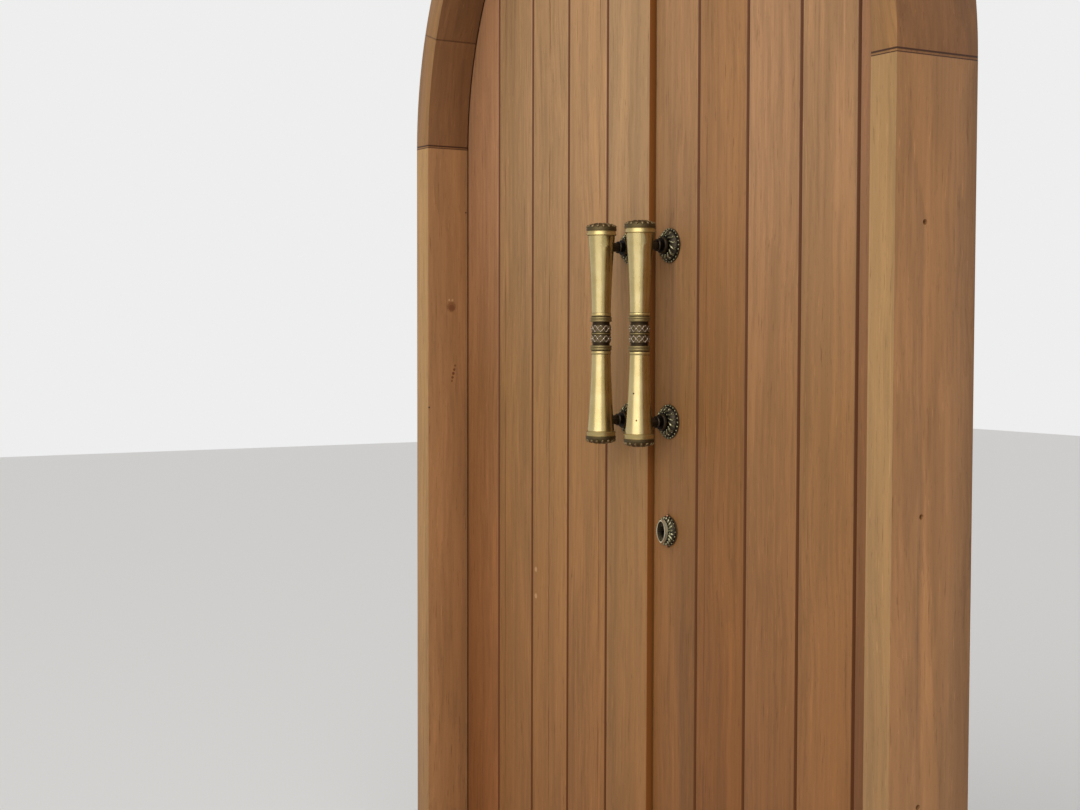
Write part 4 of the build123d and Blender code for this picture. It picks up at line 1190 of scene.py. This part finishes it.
def ornament():
    """Adds the cast relief to both handles and the outer escutcheon."""
    raised_bronze = worn_relief("raised_bronze", RAISED_BRONZE)
    raised_brass = worn_relief("raised_brass", RAISED_BRASS)
    lattice = worn_relief("lattice", LATTICE)
    # The collar's studs and beads get painted highlights
    painted_highlight_studs = worn_relief("painted_highlight_studs", STUD_HIGHLIGHT)
    copper = worn_relief("copper_finial", COPPER)
    for side in SIDES:
        rosettes(side, raised_bronze)
        cap_relief(side, raised_brass)
        collar_lattice(side, lattice, painted_highlight_studs)
    escutcheon_relief(raised_bronze, copper)


# Camera and light

# The camera stands to the right of the door, level with the handles, and looks at it aslant
CAMERA_PLACE = (2.3388, -1.6173, 1.3005)
CAMERA_YAW = math.radians(58.83)
CAMERA_PITCH = math.radians(2.54)
CAMERA_ROLL = math.radians(-0.12)
CAMERA_LENS = 54.78
SENSOR_WIDTH = 36.0
CAMERA_CLIP = (0.05, 100.0)

FLOOR_SIZE = 30
# The floor lies this far under the sill, so that their faces don't coincide
FLOOR_GAP = 0.0005
FLOOR_GREY = (0.72, 0.71, 0.695, 1)
FLOOR_ROUGHNESS = 0.9
# The world is paler where it is seen, mirrored or looked through than where it gives light
WORLD_GREY = (0.90, 0.90, 0.90, 1)
WORLD_LIGHT = 0.55
WORLD_SEEN = 0.95
SKY_POWER = 1.5
SKY_SPREAD = math.radians(60)
SKY_WAY = Vector((-0.75, 1.0, -1.1))
# A very wide soft light in front of the door, which the brass shows as a broad pale band
KEY_PLACE = Vector((2.9, -5.2, 2.8))
KEY_TARGET = Vector((0, 0, 1.3))
KEY_SIZE = (7.5, 3.3)
KEY_POWER = 138
KEY_COLOUR = (1.0, 0.98, 0.95)


def camera():
    level = math.cos(CAMERA_PITCH)
    ahead = Vector(
        (-math.sin(CAMERA_YAW) * level, math.cos(CAMERA_YAW) * level, -math.sin(CAMERA_PITCH))
    )
    right = Vector((math.cos(CAMERA_YAW), math.sin(CAMERA_YAW), 0))
    up = right.cross(ahead)
    turned_right = right * math.cos(CAMERA_ROLL) - up * math.sin(CAMERA_ROLL)
    turned_up = right * math.sin(CAMERA_ROLL) + up * math.cos(CAMERA_ROLL)
    data = bpy.data.cameras.new("camera")
    data.lens = CAMERA_LENS
    data.sensor_width = SENSOR_WIDTH
    data.clip_start, data.clip_end = CAMERA_CLIP
    obj = bpy.data.objects.new("camera", data)
    bpy.context.scene.collection.objects.link(obj)
    rotation = Matrix((turned_right, turned_up, -ahead)).transposed()
    obj.matrix_world = Matrix.Translation(CAMERA_PLACE) @ rotation.to_4x4()
    bpy.context.scene.camera = obj


def lamp(name, data, way, place=(0, 0, 0)):
    """Sets up a lamp that shines along a direction."""
    obj = bpy.data.objects.new(name, data)
    bpy.context.scene.collection.objects.link(obj)
    obj.location = place
    obj.rotation_mode = "QUATERNION"
    obj.rotation_quaternion = way.to_track_quat("-Z", "Y")


def pale_floor():
    bpy.ops.mesh.primitive_plane_add(size=FLOOR_SIZE, location=(0, 0, -FLOOR_GAP))
    floor = bpy.context.object
    floor.name = "floor"
    bpy.ops.object.transform_apply(location=True)
    material, _, shader = new_material("floor")
    shader.inputs["Base Color"].default_value = FLOOR_GREY
    shader.inputs["Roughness"].default_value = FLOOR_ROUGHNESS
    floor.data.materials.append(material)


def pale_world():
    world = bpy.data.worlds.new("studio")
    bpy.context.scene.world = world
    world.use_nodes = True
    tree = world.node_tree
    background = tree.nodes["Background"]
    background.inputs["Color"].default_value = WORLD_GREY
    rays = put(tree, "LightPath").outputs
    through = calc(tree, "MAXIMUM", rays["Is Glossy Ray"], rays["Is Transmission Ray"])
    shown = calc(tree, "MAXIMUM", rays["Is Camera Ray"], through)
    strength = span(tree, shown, 0, 1, WORLD_LIGHT, WORLD_SEEN)
    tree.links.new(strength, background.inputs["Strength"])


def studio():
    """A plain pale floor and background, a soft sky and a wide key light."""
    pale_floor()
    pale_world()
    sky = bpy.data.lights.new("sky", "SUN")
    sky.energy = SKY_POWER
    sky.angle = SKY_SPREAD
    lamp("sky", sky, SKY_WAY)
    key = bpy.data.lights.new("key", "AREA")
    key.shape = "RECTANGLE"
    key.size, key.size_y = KEY_SIZE
    key.energy = KEY_POWER
    key.color = KEY_COLOUR
    lamp("key", key, KEY_TARGET - KEY_PLACE, KEY_PLACE)
    bpy.context.scene.view_settings.view_transform = "Standard"


camera()
studio()
leaf_boards()
frame_boards()
metalwork()
ornament()
